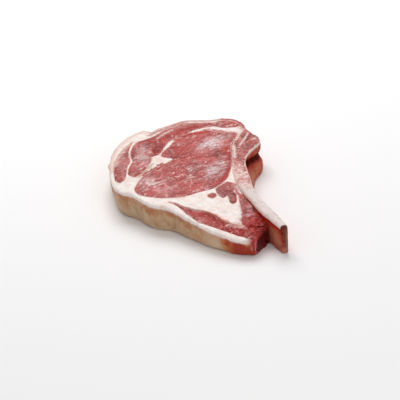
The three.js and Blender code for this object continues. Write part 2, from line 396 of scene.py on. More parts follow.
@dataclass(frozen=True)
class Slice:
    """Form of the whole slice: level, then sinking towards the flank end, with a front side that leans in."""

    thickness: float = 32.0
    # How the slice sinks along the flank's way: start, length, drop and the power of its curve
    flank_way: Point = (0.45, -0.89)
    flank_start: float = 16.0
    flank_length: float = 122.0
    flank_drop: float = 14.0
    flank_bend: float = 1.3
    # How the front side leans in at the foot, growing along the flank's way and fading towards the bone
    undercut: float = 3.5
    undercut_way: Point = (0.65, 0.76)
    undercut_start: float = -25.0
    undercut_length: float = 60.0
    bone_side: float = 66.0
    bone_fade: float = 40.0
    # How far the left corner leans in besides
    corner: Patch = Patch((-90, -22), (38, 44), 0.0, 5.0)
    corner_way: Point = (0.9, 0.43)
    # Where the slice ends along its way, and the radius of the top's edge there
    end_way: Point = (0.855, -0.52)
    end_at: float = 114.5
    end_round: float = 3.5

    def top(self, flat: Array) -> Array:
        """Gives the height of the top face.

        The thickness, less a drop that grows along the flank's way, less a quarter circle at the free end.

        Args:
            flat: Places, two numbers each.

        Returns:
            Heights in millimetres.
        """
        past = ramp(flat @ np.array(self.flank_way), self.flank_start, self.flank_length)
        lack = np.clip(self.end_round - self.end_at + flat @ np.array(self.end_way), 0.0, self.end_round)
        rounding = self.end_round - np.sqrt(self.end_round**2 - lack**2)
        return self.thickness - self.flank_drop * past**self.flank_bend - rounding

    def lean(self, points: Array) -> Array:
        """Shifts points inwards the lower they lie, along the front side, and more at its left corner.

        Args:
            points: Places in millimetres.

        Returns:
            The shifted places.
        """
        flat = points[..., :2]
        front = ramp(flat @ np.array(self.flank_way), self.undercut_start, self.undercut_length)
        clear = ramp(self.bone_side - flat[..., 0], 0.0, self.bone_fade)
        sunk = 1.0 - points[..., 2] / self.thickness
        moved = points.copy()
        moved[..., :2] += (self.undercut * front * clear * sunk)[..., None] * np.array(self.undercut_way)
        moved[..., :2] += (self.corner.cover(flat) * sunk)[..., None] * np.array(self.corner_way)
        return moved


SLICE = Slice()


@dataclass(frozen=True)
class Outline:
    """A piece's outline on the top face: two sides that run the same way, point beside point."""

    left: tuple[Point, ...]
    right: tuple[Point, ...]

    def lines(self, rows: int, ragged: float = 0.0, size: float = 6.0) -> tuple[Array, Array]:
        """Samples both sides.

        Args:
            rows: Samples along each side.
            ragged: Millimetres by which noise moves the line to and fro.
            size: Width of that noise in millimetres.

        Returns:
            The left and the right line.
        """
        sides = []
        for side in (self.left, self.right):
            line = spline(side, rows)
            sides.append(line + ragged * NOISE.drift(line, size, 3, DRIFT_OUTLINE))
        return sides[0], sides[1]

    def loop(self, step: float = 2.0, past: float = 0.0) -> Array:
        """Gives the closed outline.

        Args:
            step: Millimetres between its points.
            past: Millimetres by which an end that doesn't taper is drawn longer.

        Returns:
            The points in order.
        """
        rows = 2 + int(sum(math.dist(a, b) for a, b in zip(self.left, self.left[1:])) / step)
        left, right = self.lines(rows)
        if math.dist(self.left[-1], self.right[-1]) > step:
            ways = [side[-1] - side[-2] for side in (left, right)]
            left, right = (
                np.vstack([side, side[-1] + past * way / np.linalg.norm(way)])
                for side, way in zip((left, right), ways)
            )
        return np.vstack([left, right[::-1]])


def raised(flat: Array, height: Array) -> Array:
    """Gives the points over flat places at their heights."""
    return np.concatenate([flat, height[..., None]], axis=-1)


def rounded(from_edge: Array, radius: Array | float) -> Array:
    """Gives how far a face with a rounded edge lies back there: a quarter circle of the radius."""
    lack = np.maximum(radius - from_edge, 0.0)
    return radius - np.sqrt(np.maximum(radius**2 - lack**2, 0.0))


def cell_corners(index: Array) -> tuple[Array, Array, Array, Array]:
    """Gives the four corners of each cell of a grid of point numbers, in order round the cell."""
    return index[:-1, :-1], index[:-1, 1:], index[1:, 1:], index[1:, :-1]


@dataclass
class Surface:
    """Points and quads of a closed surface, in the drawing frame, with the marks at each point."""

    points: Array
    quads: Array
    marks: dict[Mark, Array] = field(default_factory=dict)

    @classmethod
    def of_grid(cls, points: Array, marks: dict[Mark, Array], wraps: bool) -> Surface:
        """Makes a surface of one grid.

        Args:
            points: Places as rows by columns by three.
            marks: Values as rows by columns.
            wraps: Whether the last column joins the first.

        Returns:
            The surface.
        """
        rows, columns = points.shape[:2]
        index = np.arange(rows * columns).reshape(rows, columns)
        if wraps:
            index = np.hstack([index, index[:, :1]])
        quads = np.stack([corner.ravel() for corner in cell_corners(index)], axis=1)
        flat_marks = {mark: value.ravel() for mark, value in marks.items()}
        return cls(points.reshape(-1, 3), quads, flat_marks)

    def joined(self, other: Surface) -> Surface:
        """Puts another surface with the same marks beside this one."""
        marks = {mark: np.concatenate([value, other.marks[mark]]) for mark, value in self.marks.items()}
        quads = np.vstack([self.quads, other.quads + len(self.points)])
        return Surface(np.vstack([self.points, other.points]), quads, marks)

    def piece(self, name: str) -> bpy.types.Object:
        """Makes the Blender piece: points in one place are merged, faces that shrink to a line dropped.

        Args:
            name: The piece's name.

        Returns:
            The piece, its faces turned outwards, at the origin of the part's frame.
        """
        keys = np.round(self.points / WELD).astype(np.int64)
        _, first, merged = np.unique(keys, axis=0, return_index=True, return_inverse=True)
        corners = merged.reshape(-1)[self.quads]
        faces = np.vstack([corners[:, [0, 1, 2]], corners[:, [0, 2, 3]]])
        whole = np.all(faces != np.roll(faces, 1, axis=1), axis=1)
        faces = faces[whole]
        places = (self.points[first] + np.array(DRAWING_SHIFT)) * MM
        a, b, c = (places[faces[:, k]] for k in range(3))
        if np.sum(a * np.cross(b, c)) < 0.0:
            faces = faces[:, ::-1]
        mesh = bpy.data.meshes.new(name)
        mesh.vertices.add(len(places))
        mesh.vertices.foreach_set("co", places.ravel())
        mesh.loops.add(faces.size)
        mesh.loops.foreach_set("vertex_index", np.ascontiguousarray(faces).ravel())
        mesh.polygons.add(len(faces))
        mesh.polygons.foreach_set("loop_start", np.arange(0, faces.size, 3))
        mesh.polygons.foreach_set("use_smooth", np.ones(len(faces), bool))
        mesh.update(calc_edges=True)
        for mark, value in self.marks.items():
            layer = mesh.attributes.new(mark.value, "FLOAT", "POINT")
            layer.data.foreach_set("value", value[first].astype(np.float32))
        piece = bpy.data.objects.new(name, mesh)
        bpy.context.scene.collection.objects.link(piece)
        return piece


def drawn_out(flat: Array, turn: float, share: float) -> Array:
    """Turns places back by degrees and shortens them along +X to a share, which draws noise out."""
    cosine, sine = math.cos(math.radians(turn)), math.sin(math.radians(turn))
    return flat @ np.array([[share * cosine, -sine], [share * sine, cosine]])


def closed_end(ring: Array, steps: int, swell: float) -> Array:
    """Closes an end that doesn't taper.

    The last ring shrinks to its middle in steps, and bulges along the way that the end faces as a parabola.

    Args:
        ring: Rings as rows by columns by three, the last one at the open end.
        steps: Rings to add.
        swell: Millimetres by which the middle stands out.

    Returns:
        The added rings.
    """
    last, before = ring[-1], ring[-2]
    middle = last.mean(axis=0)
    way = middle - before.mean(axis=0)
    way /= np.linalg.norm(way)
    share = np.linspace(1.0, 0.0, steps + 1)[1:, None, None]
    return middle + (last - middle) * share + swell * (1.0 - share**2) * way


def linear(colour: str) -> tuple[float, float, float, float]:
    """Turns an sRGB hex colour into linear red, green and blue, with an alpha of 1."""
    shares = [int(colour[at : at + 2], 16) / 255.0 for at in (1, 3, 5)]
    light = [share / 12.92 if share <= 0.04045 else ((share + 0.055) / 1.055) ** 2.4 for share in shares]
    return light[0], light[1], light[2], 1.0


def per_mm(size: float) -> float:
    """Gives the texture scale whose features are that many millimetres wide."""
    return 1.0 / (size * MM)


def add_node(
    tree: bpy.types.NodeTree, kind: str, inputs: dict[str | int, Input] | None = None, **settings: str
) -> bpy.types.Node:
    """Adds a node with its settings and links.

    Args:
        tree: Tree that takes the node.
        kind: Blender's name of the node.
        inputs: What its inputs take, by name or number: a socket is linked, a mark read from the surface, a
            hex colour made linear, and anything else set.
        settings: Values of its properties.

    Returns:
        The node.
    """
    node = tree.nodes.new(kind)
    for name, value in settings.items():
        setattr(node, name, value)
    for key, value in (inputs or {}).items():
        if isinstance(value, Mark):
            value = add_node(tree, "ShaderNodeAttribute", attribute_name=value.value).outputs["Fac"]
        if isinstance(value, Socket):
            tree.links.new(value, node.inputs[key])
        else:
            node.inputs[key].default_value = linear(value) if isinstance(value, str) else value
    return node


class Layers:
    """A material's node tree, made of colours and masks.

    A mask says how far a colour covers what lies under it. It is a socket, or a mark of the surface.
    """

    def __init__(self, name: str) -> None:
        """Starts an empty material.

        Args:
            name: The material's name.
        """
        self.material = bpy.data.materials.new(name)
        self.material.use_nodes = True
        self.tree = self.material.node_tree
        self.tree.nodes.clear()
        self.place = add_node(self.tree, "ShaderNodeTexCoord").outputs["Object"]

    def warped(self, size: float, reach: float) -> Socket:
        """Gives the place shifted to and fro by noise of a size, by up to a reach in millimetres."""
        pattern = {"Vector": self.place, "Scale": per_mm(size), "Detail": 2.0}
        shift = add_node(self.tree, "ShaderNodeTexNoise", pattern).outputs["Color"]
        sway = {0: shift, 1: (reach * MM,) * 3, 2: self.place}
        return add_node(self.tree, "ShaderNodeVectorMath", sway, operation="MULTIPLY_ADD").outputs[0]

    def stretched(self, shares: tuple[float, float, float], turn: float = 0.0) -> Socket:
        """Gives the place, turned back about +Z by degrees, with each axis multiplied by its own share."""
        back = {"Vector": self.place, "Angle": -math.radians(turn)}
        turned = add_node(self.tree, "ShaderNodeVectorRotate", back, rotation_type="Z_AXIS").outputs[0]
        scaled = {0: turned, 1: shares}
        return add_node(self.tree, "ShaderNodeVectorMath", scaled, operation="MULTIPLY").outputs[0]

    def mask(
        self,
        values: Sequence[Input],
        join: Join = Join.PRODUCT,
        span: Span | None = None,
        level: Span = WHOLE,
    ) -> Socket:
        """Joins values one after another, and makes a soft step of what comes out.

        Args:
            values: Sockets, marks or numbers, the first of them not a number.
            join: How each is joined to those before it.
            span: Where the step starts and ends. Without it, the joined value stays as it is.
            level: What the step gives before its start and past its end.

        Returns:
            The mask.
        """
        result = values[0]
        for value in values[1:]:
            pair = {0: result, 1: value}
            result = add_node(self.tree, "ShaderNodeMath", pair, operation=join.value).outputs[0]
        if span is None:
            return result
        step = {"From Min": span[0], "From Max": span[1], "To Min": level[0], "To Max": level[1]}
        step["Value"] = result
        return add_node(self.tree, "ShaderNodeMapRange", step, interpolation_type="SMOOTHSTEP").outputs[0]

    def spots(
        self,
        size: float,
        detail: float,
        span: Span | None = None,
        level: Span = WHOLE,
        place: Socket | None = None,
        warp: float = 0.0,
        base: Input | None = None,
        reach: float = 1.0,
    ) -> Socket:
        """Makes a mask of fractal noise: a soft step of the noise, or of a base value plus the noise.

        Args:
            size: Width of its widest features in millimetres.
            detail: Number of finer octaves.
            span: Where the step starts and ends. Without it, the noise stays as it is.
            level: What the step gives before its start and past its end.
            place: Where the noise is read, if not at the surface's own place.
            warp: How far the noise distorts itself.
            base: Value that the noise is added to.
            reach: What the noise is multiplied by when it is added.

        Returns:
            The mask.
        """
        pattern = {"Scale": per_mm(size), "Detail": detail, "Roughness": NOISE_ROUGHNESS, "Distortion": warp}
        pattern["Vector"] = place or self.place
        noise = add_node(self.tree, "ShaderNodeTexNoise", pattern).outputs[0]
        values = [noise] if base is None else [base, self.mask([noise, reach])]
        return self.mask(values, Join.SUM, span, level)

    def web(self, size: float, cell: Cell, place: Socket, span: Span, level: Span = WHOLE) -> Socket:
        """Makes a mask of a field of cells: a soft step of the distance to a cell's middle or edge.

        Args:
            size: Width of a cell in millimetres.
            cell: What the distance is measured to.
            place: Where the field is read.
            span: Where the step starts and ends.
            level: What it gives before its start and past its end.

        Returns:
            The mask.
        """
        pattern = {"Vector": place, "Scale": per_mm(size)}
        away = add_node(self.tree, "ShaderNodeTexVoronoi", pattern, feature=cell.value).outputs["Distance"]
        return self.mask([away], Join.SUM, span, level)

    def laid(self, ground: Socket | str, coats: Iterable[tuple[Socket | Mark, Socket | str]]) -> Socket:
        """Lays colours over a ground, one after another.

        Args:
            ground: The colour under them.
            coats: Pairs of a mask and a colour.

        Returns:
            The colour that comes out.
        """
        for mask, colour in coats:
            mix = {MIX_FACTOR: mask, MIX_A: ground, MIX_B: colour}
            ground = add_node(self.tree, "ShaderNodeMix", mix, data_type="RGBA").outputs[MIX_OUT]
        return ground

    def finish(
        self, colour: Socket, roughness: Socket, height: Socket, relief: float, body: dict[str | int, Input]
    ) -> bpy.types.Material:
        """Closes the tree with its shader.

        Args:
            colour: Base colour.
            roughness: Roughness.
            height: Height of the fine relief, from 0 to 1.
            relief: Millimetres from the lowest to the highest of it.
            body: Constants of the shader's sockets.

        Returns:
            The material.
        """
        bump = add_node(self.tree, "ShaderNodeBump", {"Distance": relief * MM, "Height": height})
        surface = {"Base Color": colour, "Roughness": roughness, "Normal": bump.outputs[0]}
        shader = add_node(self.tree, "ShaderNodeBsdfPrincipled", body | surface)
        add_node(self.tree, "ShaderNodeOutputMaterial", {"Surface": shader.outputs[0]})
        return self.material


@dataclass(frozen=True)
class RawMuscle:
    """Raw beef, cut across the grain with a knife.

    The eye sees fine bundles of fibre as a mottle of reds, pale grains and short threads of marbling, and a
    wet sheen of lower roughness. Where the sheen is thick, cold white glints are painted into the colour.
    Its darkest red is partly painted shade, at the cut-off ends and under the fat's lip.
    """

    name: str = "raw_beef_muscle"
    deep: str = "#7c1614"
    middle: str = "#c54842"
    light: str = "#dc908b"
    fat: str = "#f2d3cc"
    silver: str = "#e9c0b5"
    painted_glint: str = "#fbeef0"
    fresh: str = "#a91d17"
    vivid: str = "#cf2a22"
    blood: str = "#560c0a"

    def material(self) -> bpy.types.Material:
        """Builds the finish.

        Returns:
            The material.
        """
        to = Layers(self.name)
        grain = to.stretched((0.5, 1.0, 1.0), GRAIN_TURN)
        tone = to.spots(21.0, 5.0, (0.24, 0.68))
        bundles = to.web(2.4, Cell.MIDDLE, to.warped(3.0, 1.6), (0.3, 0.8))
        streaks = to.spots(4.5, 4.0, (0.48, 0.72), place=grain)
        dark = to.spots(4.6, 3.0, (0.5, 0.33), place=grain)
        clusters = to.spots(6.5, 3.0, (0.4, 0.62), (0.08, 0.75), grain)
        grains = to.mask([to.spots(1.9, 3.0, (0.48, 0.64)), clusters])
        rich = to.mask([Mark.MARBLE, 0.1])
        flecks = to.spots(3.6, 4.0, (0.62, 0.7), place=grain, warp=0.7, base=rich)
        threads = to.web(9.0, Cell.EDGE, to.warped(7.0, 11.0), (0.06, 0.01))
        broken = to.mask([threads, to.spots(8.0, 3.0, (0.5, 0.62))])
        plain = to.mask([Mark.PLAIN], span=WHOLE, level=(0.7, 0.05))
        marbled = to.mask([to.mask([flecks, broken], Join.MOST), plain])
        calm = to.mask([Mark.FRESH], span=(0.2, 1.0), level=(1.0, 0.25))
        pits = to.spots(3.6, 3.0, (0.46, 0.35), (0.0, 0.35), grain)
        skin = to.spots(5.0, 3.0, (-0.6, -1.7), (0.0, 0.8), base=Mark.EDGE, reach=-3.2)
        # Painted highlight: cold white glints of the wet film, in beads along the grain
        glint_beads = to.web(2.6, Cell.MIDDLE, to.stretched((0.6, 1.0, 1.0), GRAIN_TURN), (0.45, 0.2))
        painted_glint_film = to.mask([to.spots(6.0, 4.0, (0.34, 0.58), place=grain), Mark.GLOSS_AND_GLINT])
        colour = to.laid(
            self.deep,
            [
                (tone, self.middle),
                (to.mask([bundles, 0.16]), self.light),
                (to.mask([streaks, 0.5]), self.light),
                (to.mask([dark, 0.7]), self.deep),
                (Mark.FRESH, self.fresh),
                (to.mask([grains, calm]), self.light),
                (to.mask([marbled, calm]), self.fat),
                (Mark.PALE, self.silver),
                (skin, self.silver),
                # Painted highlights of the wet film
                (to.mask([painted_glint_film, 0.58]), self.painted_glint),
                (to.mask([painted_glint_film, glint_beads]), self.painted_glint),
                (pits, self.deep),
                (to.mask([Mark.FRESH], span=(1.0, 1.6)), self.vivid),
                # Dark blood, and painted shade at the cut-off ends and under the fat's lip
                (Mark.BLOOD_AND_SHADE, self.blood),
            ],
        )
        puddles = to.spots(12.0, 3.0, (0.42, 0.66), (0.0, 0.7))
        roughness = to.mask([puddles, Mark.GLOSS_AND_GLINT], Join.MOST, WHOLE, (0.5, 0.24))
        height = to.mask([to.mask([bundles, 0.5]), to.mask([streaks, 0.8])], Join.SUM)
        body = {
            "IOR": 1.38, "Specular IOR Level": 0.3,
            "Subsurface Weight": 0.1, "Subsurface Radius": (1.0, 0.3, 0.2), "Subsurface Scale": 1.2 * MM,
            "Coat Weight": 0.08, "Coat Roughness": 0.15, "Coat IOR": 1.34,
        }
        return to.finish(colour, roughness, height, 0.45, body)


@dataclass(frozen=True)
class BeefFat:
    """Raw beef fat: white and waxy where it is cut, dried to a tan skin on the outside of the cover.

    The cut face is cream white with a pink tinge beside the muscle. The skin is mottled beige and
    orange-brown, with upright creases, paler under the rim and along the foot.
    """

    name: str = "raw_beef_fat"
    white: str = "#f7ece7"
    cream: str = "#efdcd3"
    pink: str = "#d99f95"
    blush: str = "#e6c2b2"
    beige: str = "#b4875f"
    sand: str = "#c9a47f"
    rust: str = "#b0683a"
    crease: str = "#9c5a38"
    pale: str = "#dcc4a8"
    ash: str = "#c9ae90"
    lip: str = "#cc6238"
    orange: str = "#c4642e"
    red: str = "#a02a0e"
    tan: str = "#b58d68"
    meat: str = "#ab2f28"

    def material(self) -> bpy.types.Material:
        """Builds the finish.

        Returns:
            The material.
        """
        to = Layers(self.name)
        upright = to.stretched((1.0, 1.0, 0.3))
        blotch = to.stretched((1.0, 1.0, 0.65))
        pink = to.spots(5.0, 3.0, (-0.9, -2.1), (0.0, 0.8), base=Mark.FAT_GAP, reach=-4.0)
        veins = to.web(20.0, Cell.EDGE, to.warped(12.0, 16.0), (0.03, 0.0), (0.0, 0.4))
        cut = to.laid(
            self.white,
            [
                (to.spots(8.0, 4.0, (0.38, 0.68)), self.cream),
                (Mark.BLUSH, self.blush),
                (pink, self.pink),
                (to.mask([veins, to.spots(11.0, 3.0, (0.45, 0.6))]), self.pink),
                (Mark.TAN, self.tan),
                (Mark.LIP, self.lip),
            ],
        )
        sparse = to.mask([Mark.FRESH], span=(0.5, 0.95), level=(0.7, 0.1))
        mottle = to.mask([to.spots(3.2, 3.0, (0.52, 0.7)), sparse])
        fresh = to.mask([Mark.FRESH, to.spots(4.0, 3.0, (0.3, 0.5), (0.9, 1.1))])
        cut = to.laid(cut, [(fresh, to.laid(self.meat, [(mottle, self.pink)]))])
        high = to.mask([Mark.BELOW_RIM], span=(0.0, 16.0), level=(0.2, -0.13))
        deep = to.mask([Mark.BELOW_RIM], span=(8.0, 26.0), level=(-0.15, 0.15))
        foot = to.mask([Mark.BELOW_RIM], span=(24.0, 31.0))
        skin = to.laid(
            self.beige,
            [
                (to.spots(13.0, 3.0, (0.34, 0.66), place=blotch), self.sand),
                (to.spots(18.0, 3.0, (0.43, 0.66), (0.0, 0.85), base=high), self.rust),
                (to.spots(15.0, 3.0, (0.4, 0.68), (0.0, 0.75), base=deep), self.ash),
                (to.spots(4.2, 3.0, (0.6, 0.72), (0.0, 0.5), upright), self.crease),
                (to.spots(9.0, 4.0, (0.5, 0.72), (0.0, 0.5), blotch), self.pale),
                (to.spots(2.4, 2.0, (0.62, 0.72), (0.0, 0.35)), self.crease),
                (to.spots(6.0, 3.0, (1.3, 1.6), (0.0, 0.6), base=foot), self.pale),
                (to.spots(9.0, 4.0, (0.55, 1.2), base=Mark.STAIN_AND_SHADE), self.orange),
                (to.spots(9.0, 4.0, (0.85, 1.4), base=Mark.STAIN_AND_SHADE), self.red),
                (Mark.PALE, self.pale),
            ],
        )
        rim = {"base": Mark.BELOW_RIM, "reach": -2.4}
        colour = to.laid(cut, [(to.spots(6.0, 3.0, (-1.9, 1.3), **rim), skin)])
        roughness = to.spots(6.0, 3.0, (-1.1, 1.6), (0.4, 0.5), **rim)
        body = {
            "IOR": 1.44, "Specular IOR Level": 0.35,
            "Subsurface Weight": 0.15, "Subsurface Radius": (1.0, 0.6, 0.45), "Subsurface Scale": 1.5 * MM,
            "Coat Weight": 0.06, "Coat Roughness": 0.25,
        }
        return to.finish(colour, roughness, to.spots(2.6, 3.0, place=upright), 0.25, body)


@dataclass(frozen=True)
class RibBone:
    """Fresh beef rib: sawn across its spongy end, and smooth under a white membrane along its shaft.

    The sawn face is a streaked sponge of pale struts and red marrow inside a white rim, with fewer and fewer
    red pores towards the shaft. The walls are red-brown with dried bloodstains, and painted shade darkens
    the hollow in the right wall.
    """

    name: str = "fresh_rib_bone"
    strut: str = "#c8746f"
    marrow: str = "#7c1414"
    chip: str = "#f2d3cc"
    rim: str = "#f3e0d6"
    neck: str = "#f0d2cb"
    flush: str = "#d59a94"
    pore: str = "#a8302e"
    gash_and_shade: str = "#ae1a12"
    membrane: str = "#e8dad5"
    shade: str = "#c9a9a3"
    wall: str = "#c2573a"
    dried: str = "#97301b"
    salmon: str = "#dd9c7c"
    stained: str = "#86190d"
    blood: str = "#4c0a05"
    end: str = "#6e2c1a"
    grey: str = "#857766"

    def material(self) -> bpy.types.Material:
        """Builds the finish.

        Returns:
            The material.
        """
        to = Layers(self.name)
        streaked = {0: Mark.ACROSS, 1: Mark.ALONG}
        # The marks along and across count streaks, so the noise on them has a scale of 1
        streaks = {
            "size": UNIT_SIZE, "detail": 2.5, "warp": 0.6,
            "place": add_node(to.tree, "ShaderNodeCombineXYZ", streaked).outputs[0],
        }
        pores = to.spots(3.4, 2.5, (0.44, 0.58), (0.0, 0.9), warp=0.8)
        marrow = to.mask([to.mask([to.spots(span=(0.42, 0.58), **streaks), pores], Join.SUM), 0.55])
        sponge = to.web(2.2, Cell.EDGE, to.warped(3.0, 2.0), (0.06, 0.3))
        sawn = to.laid(
            self.strut,
            [
                (marrow, self.marrow),
                (to.mask([sponge], span=(1.0, 0.0), level=(0.0, 0.12)), self.chip),
                (to.spots(3.0, 2.0, (0.6, 0.68), (0.0, 0.6), warp=0.5), self.chip),
            ],
        )
        speckle = to.mask([pores, to.mask([Mark.BLUSH], span=WHOLE, level=(0.3, 1.0))])
        neck = to.laid(self.neck, [(to.spots(5.5, 3.0, (0.4, 0.64)), self.flush), (speckle, self.pore)])
        shade = to.spots(span=(0.42, 0.75), level=(0.0, 0.6), **streaks)
        shaft = to.laid(self.membrane, [(shade, self.shade)])
        rim = to.spots(5.0, 3.0, (0.2, -1.2), (0.0, 0.85), base=Mark.EDGE, reach=-3.0)
        top = to.laid(
            shaft,
            [
                (Mark.NECK, neck),
                (Mark.SAWN, sawn),
                (rim, self.rim),
                (Mark.PALE, self.rim),
                (Mark.FRESH, self.pore),
            ],
        )
        wall = to.laid(
            self.wall,
            [
                (to.spots(16.0, 5.0, (0.28, 0.72)), self.dried),
                (to.spots(span=(0.45, 0.8), level=(0.0, 0.45), **streaks), self.salmon),
                (to.spots(22.0, 4.0, (0.52, 0.75), (0.0, 0.7)), self.stained),
            ],
        )
        colour = to.laid(
            top,
            [
                (Mark.FLANK, wall),
                (to.mask([Mark.END, to.spots(4.0, 4.0, (0.4, 0.6), (0.5, 1.0))]), self.end),
                (to.mask([Mark.END, to.spots(5.0, 3.0, (0.52, 0.64), (0.0, 0.3))]), self.grey),
                (to.mask([Mark.END, Mark.BLUSH]), self.grey),
                # Red gash and stains, and round the hollow a halo of painted shade
                (Mark.STAIN_AND_SHADE, self.gash_and_shade),
                (Mark.TAN, self.salmon),
                # Dark spot at the free end, and painted shade in the hollow
                (Mark.BLOOD_AND_SHADE, self.blood),
            ],
        )
        roughness = to.mask([Mark.BLOOD_AND_SHADE, Mark.STAIN_AND_SHADE], Join.MOST, WHOLE, (0.45, 0.95))
        body = {
            "IOR": 1.45, "Specular IOR Level": 0.08,
            "Subsurface Weight": 0.06, "Subsurface Radius": (1.0, 0.6, 0.45), "Subsurface Scale": 1.2 * MM,
        }
        return to.finish(colour, roughness, to.spots(2.2, 3.0), 0.35, body)


@dataclass
class Piece:
    """A piece of the steak, by name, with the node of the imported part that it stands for."""

    name: str
    node: str

    slot = Slot.MUSCLE

    def surface(self) -> Surface:
        """Works out the closed surface with its marks."""
        raise NotImplementedError

    def build(self, finish: bpy.types.Material) -> bpy.types.Object:
        """Makes and dresses the piece, lets it ride on the steak's one body, and says what it stands for.

        Args:
            finish: Its material.

        Returns:
            The piece.
        """
        piece = self.surface().piece(self.name)
        piece.data.materials.append(finish)
        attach(piece, "root")
        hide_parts(self.node)
        LOG.info("%s: %d triangles, replaces %s", self.name, len(piece.data.polygons), self.node)
        return piece


@dataclass
class Muscle(Piece):
    """A muscle through the slice: domed faces, edges that dip into a seam and tuck under the fat."""

    # Outline on the top face, rows along it and columns across it, and painted marks by kind
    outline: Outline
    rows: int
    columns: int
    marks: dict[Mark, Paint] = field(default_factory=dict)
    # Height of the dome and depth of the seam at the edge, and the distances over which they rise and fade
    crown: float = 0.7
    crown_reach: float = 6.0
    seam: float = 0.45
    seam_reach: float = 0.8
    # How far it reaches under the fat and how steeply, and how far its outline wanders and is drawn larger
    tuck: float = 0.9
    tuck_slope: float = 2.6
    ragged: float = 0.5
    grow: float = 0.35
    # Unevenness of the cut face: waves, furrows along the grain, fine lumps, and grooves at dark marks
    lump: float = 0.5
    lump_reach: float = 2.5
    swells: Relief = Relief(1.0, 13.0, 2)
    furrows: Relief = Relief(0.8, 6.0, 3)
    furrow_share: float = 0.35
    nubs: Relief = Relief(0.3, 3.4, 2)
    groove: float = 0.6
    # Distance from the edge that walls and ends carry, too far for silver skin
    skinless: float = 3.0
    # Bulge of an end that doesn't taper, its dark blood and painted shade, and the rings that close it
    end_swell: float = 1.5
    end_blood_and_shade: float = 0.9
    end_rows: int = 10
    # Columns down each wall, and the share of the spacing across a face that is even
    wall_columns: int = 8
    even: float = 0.28

    painted_kinds = (Mark.BLOOD_AND_SHADE, Mark.FRESH, Mark.PALE, Mark.PLAIN, Mark.GLOSS_AND_GLINT, Mark.MARBLE)

    def shares(self, count: int) -> Array:
        """Gives columns across a face, from side to side, closer together near both edges."""
        even = np.linspace(0.0, 1.0, count)
        return self.even * even + (1.0 - self.even) * (0.5 - 0.5 * np.cos(np.pi * even))

    def rise(self, depth: Array) -> Array:
        """Gives the face's height over the slice: a dome, less the seam and the tuck past the edge."""
        inside = np.maximum(depth, 0.0)
        dome = self.crown * (1.0 - np.exp(-inside / self.crown_reach))
        return dome - self.seam * np.exp(-inside / self.seam_reach) + self.tuck_slope * np.minimum(depth, 0.0)

    def relief(self, flat: Array, depth: Array) -> Array:
        """Gives the cut face's unevenness: noise, furrows along the grain, and grooves at dark marks."""
        drawn = drawn_out(flat, GRAIN_TURN, self.furrow_share)
        uneven = self.swells.at(flat) + self.furrows.at(drawn) + self.nubs.at(flat)
        grooves = painted(self.marks.get(Mark.BLOOD_AND_SHADE, ()), flat)
        return smooth(depth, 0.0, self.lump_reach) * (self.lump * uneven - self.groove * grooves)

    def shaped(self, ring: Array) -> Array:
        """Gives the rings as they are; a muscle with a form of its own changes them here."""
        return ring

    def bare(self, flat: Array) -> Array:
        """Gives what is added to the distance from the edge where no silver skin covers it: nothing here."""
        return np.zeros(flat.shape[:-1])

    def surface(self) -> Surface:
        """Works out the closed surface.

        For each row, the ring runs across the top from the left side to the right, down the right wall, back
        under the foot and up the left wall. Both faces follow the same rise, turned over for the foot.

        Returns:
            The surface with its marks.
        """
        left, right = self.outline.lines(self.rows, self.ragged)
        across = right - left
        width = np.linalg.norm(across, axis=1, keepdims=True)
        way = np.where(width > TINY, across / np.maximum(width, TINY), 0.0)
        left, right = left - self.grow * way, right + self.grow * way
        loop = np.vstack([left, right[::-1]])
        start, end = left - self.tuck * way, right + self.tuck * way
        faces = []
        for count in (self.columns, self.columns // 2):
            share = self.shares(count)[None, :, None]
            flat = start[:, None] * (1.0 - share) + end[:, None] * share
            gap = np.minimum(line_gap(flat, left), line_gap(flat, right))
            inside = (loop_depth(flat, loop) > 0.0) | (gap > self.tuck + TUCK_SPARE)
            faces.append((flat, np.where(inside, gap, -gap)))
        (flat, depth), (foot, foot_depth) = faces
        top = raised(flat, SLICE.top(flat) + self.rise(depth) + self.relief(flat, depth))
        bottom = raised(foot, np.maximum(self.crown - self.rise(foot_depth), 0.0))[:, ::-1]
        drop = np.linspace(0.0, 1.0, self.wall_columns + 2)[1:-1][None, :, None]
        right_wall = top[:, -1:] * (1.0 - drop) + bottom[:, :1] * drop
        left_wall = bottom[:, -1:] * (1.0 - drop) + top[:, :1] * drop
        ring = np.concatenate([top, right_wall, bottom, left_wall], axis=1)
        wall_edge = np.full(right_wall.shape[:2], self.skinless)
        edge = np.concatenate([depth, wall_edge, foot_depth[:, ::-1], wall_edge], axis=1)
        if width[-1] > TINY:
            ends = closed_end(ring, self.end_rows, self.end_swell)
            ring = np.concatenate([ring, ends])
            edge = np.concatenate([edge, np.full(ends.shape[:2], self.skinless)])
        flat = ring[..., :2]
        marks = {Mark.EDGE: edge + self.bare(flat)}
        for mark in self.painted_kinds:
            marks[mark] = painted(self.marks.get(mark, ()), flat)
        # The ends that don't taper are painted dark: dark blood and painted shade
        marks[Mark.BLOOD_AND_SHADE][self.rows :] = np.maximum(marks[Mark.BLOOD_AND_SHADE][self.rows :], self.end_blood_and_shade)
        return Surface.of_grid(SLICE.lean(self.shaped(ring)), marks, wraps=True)


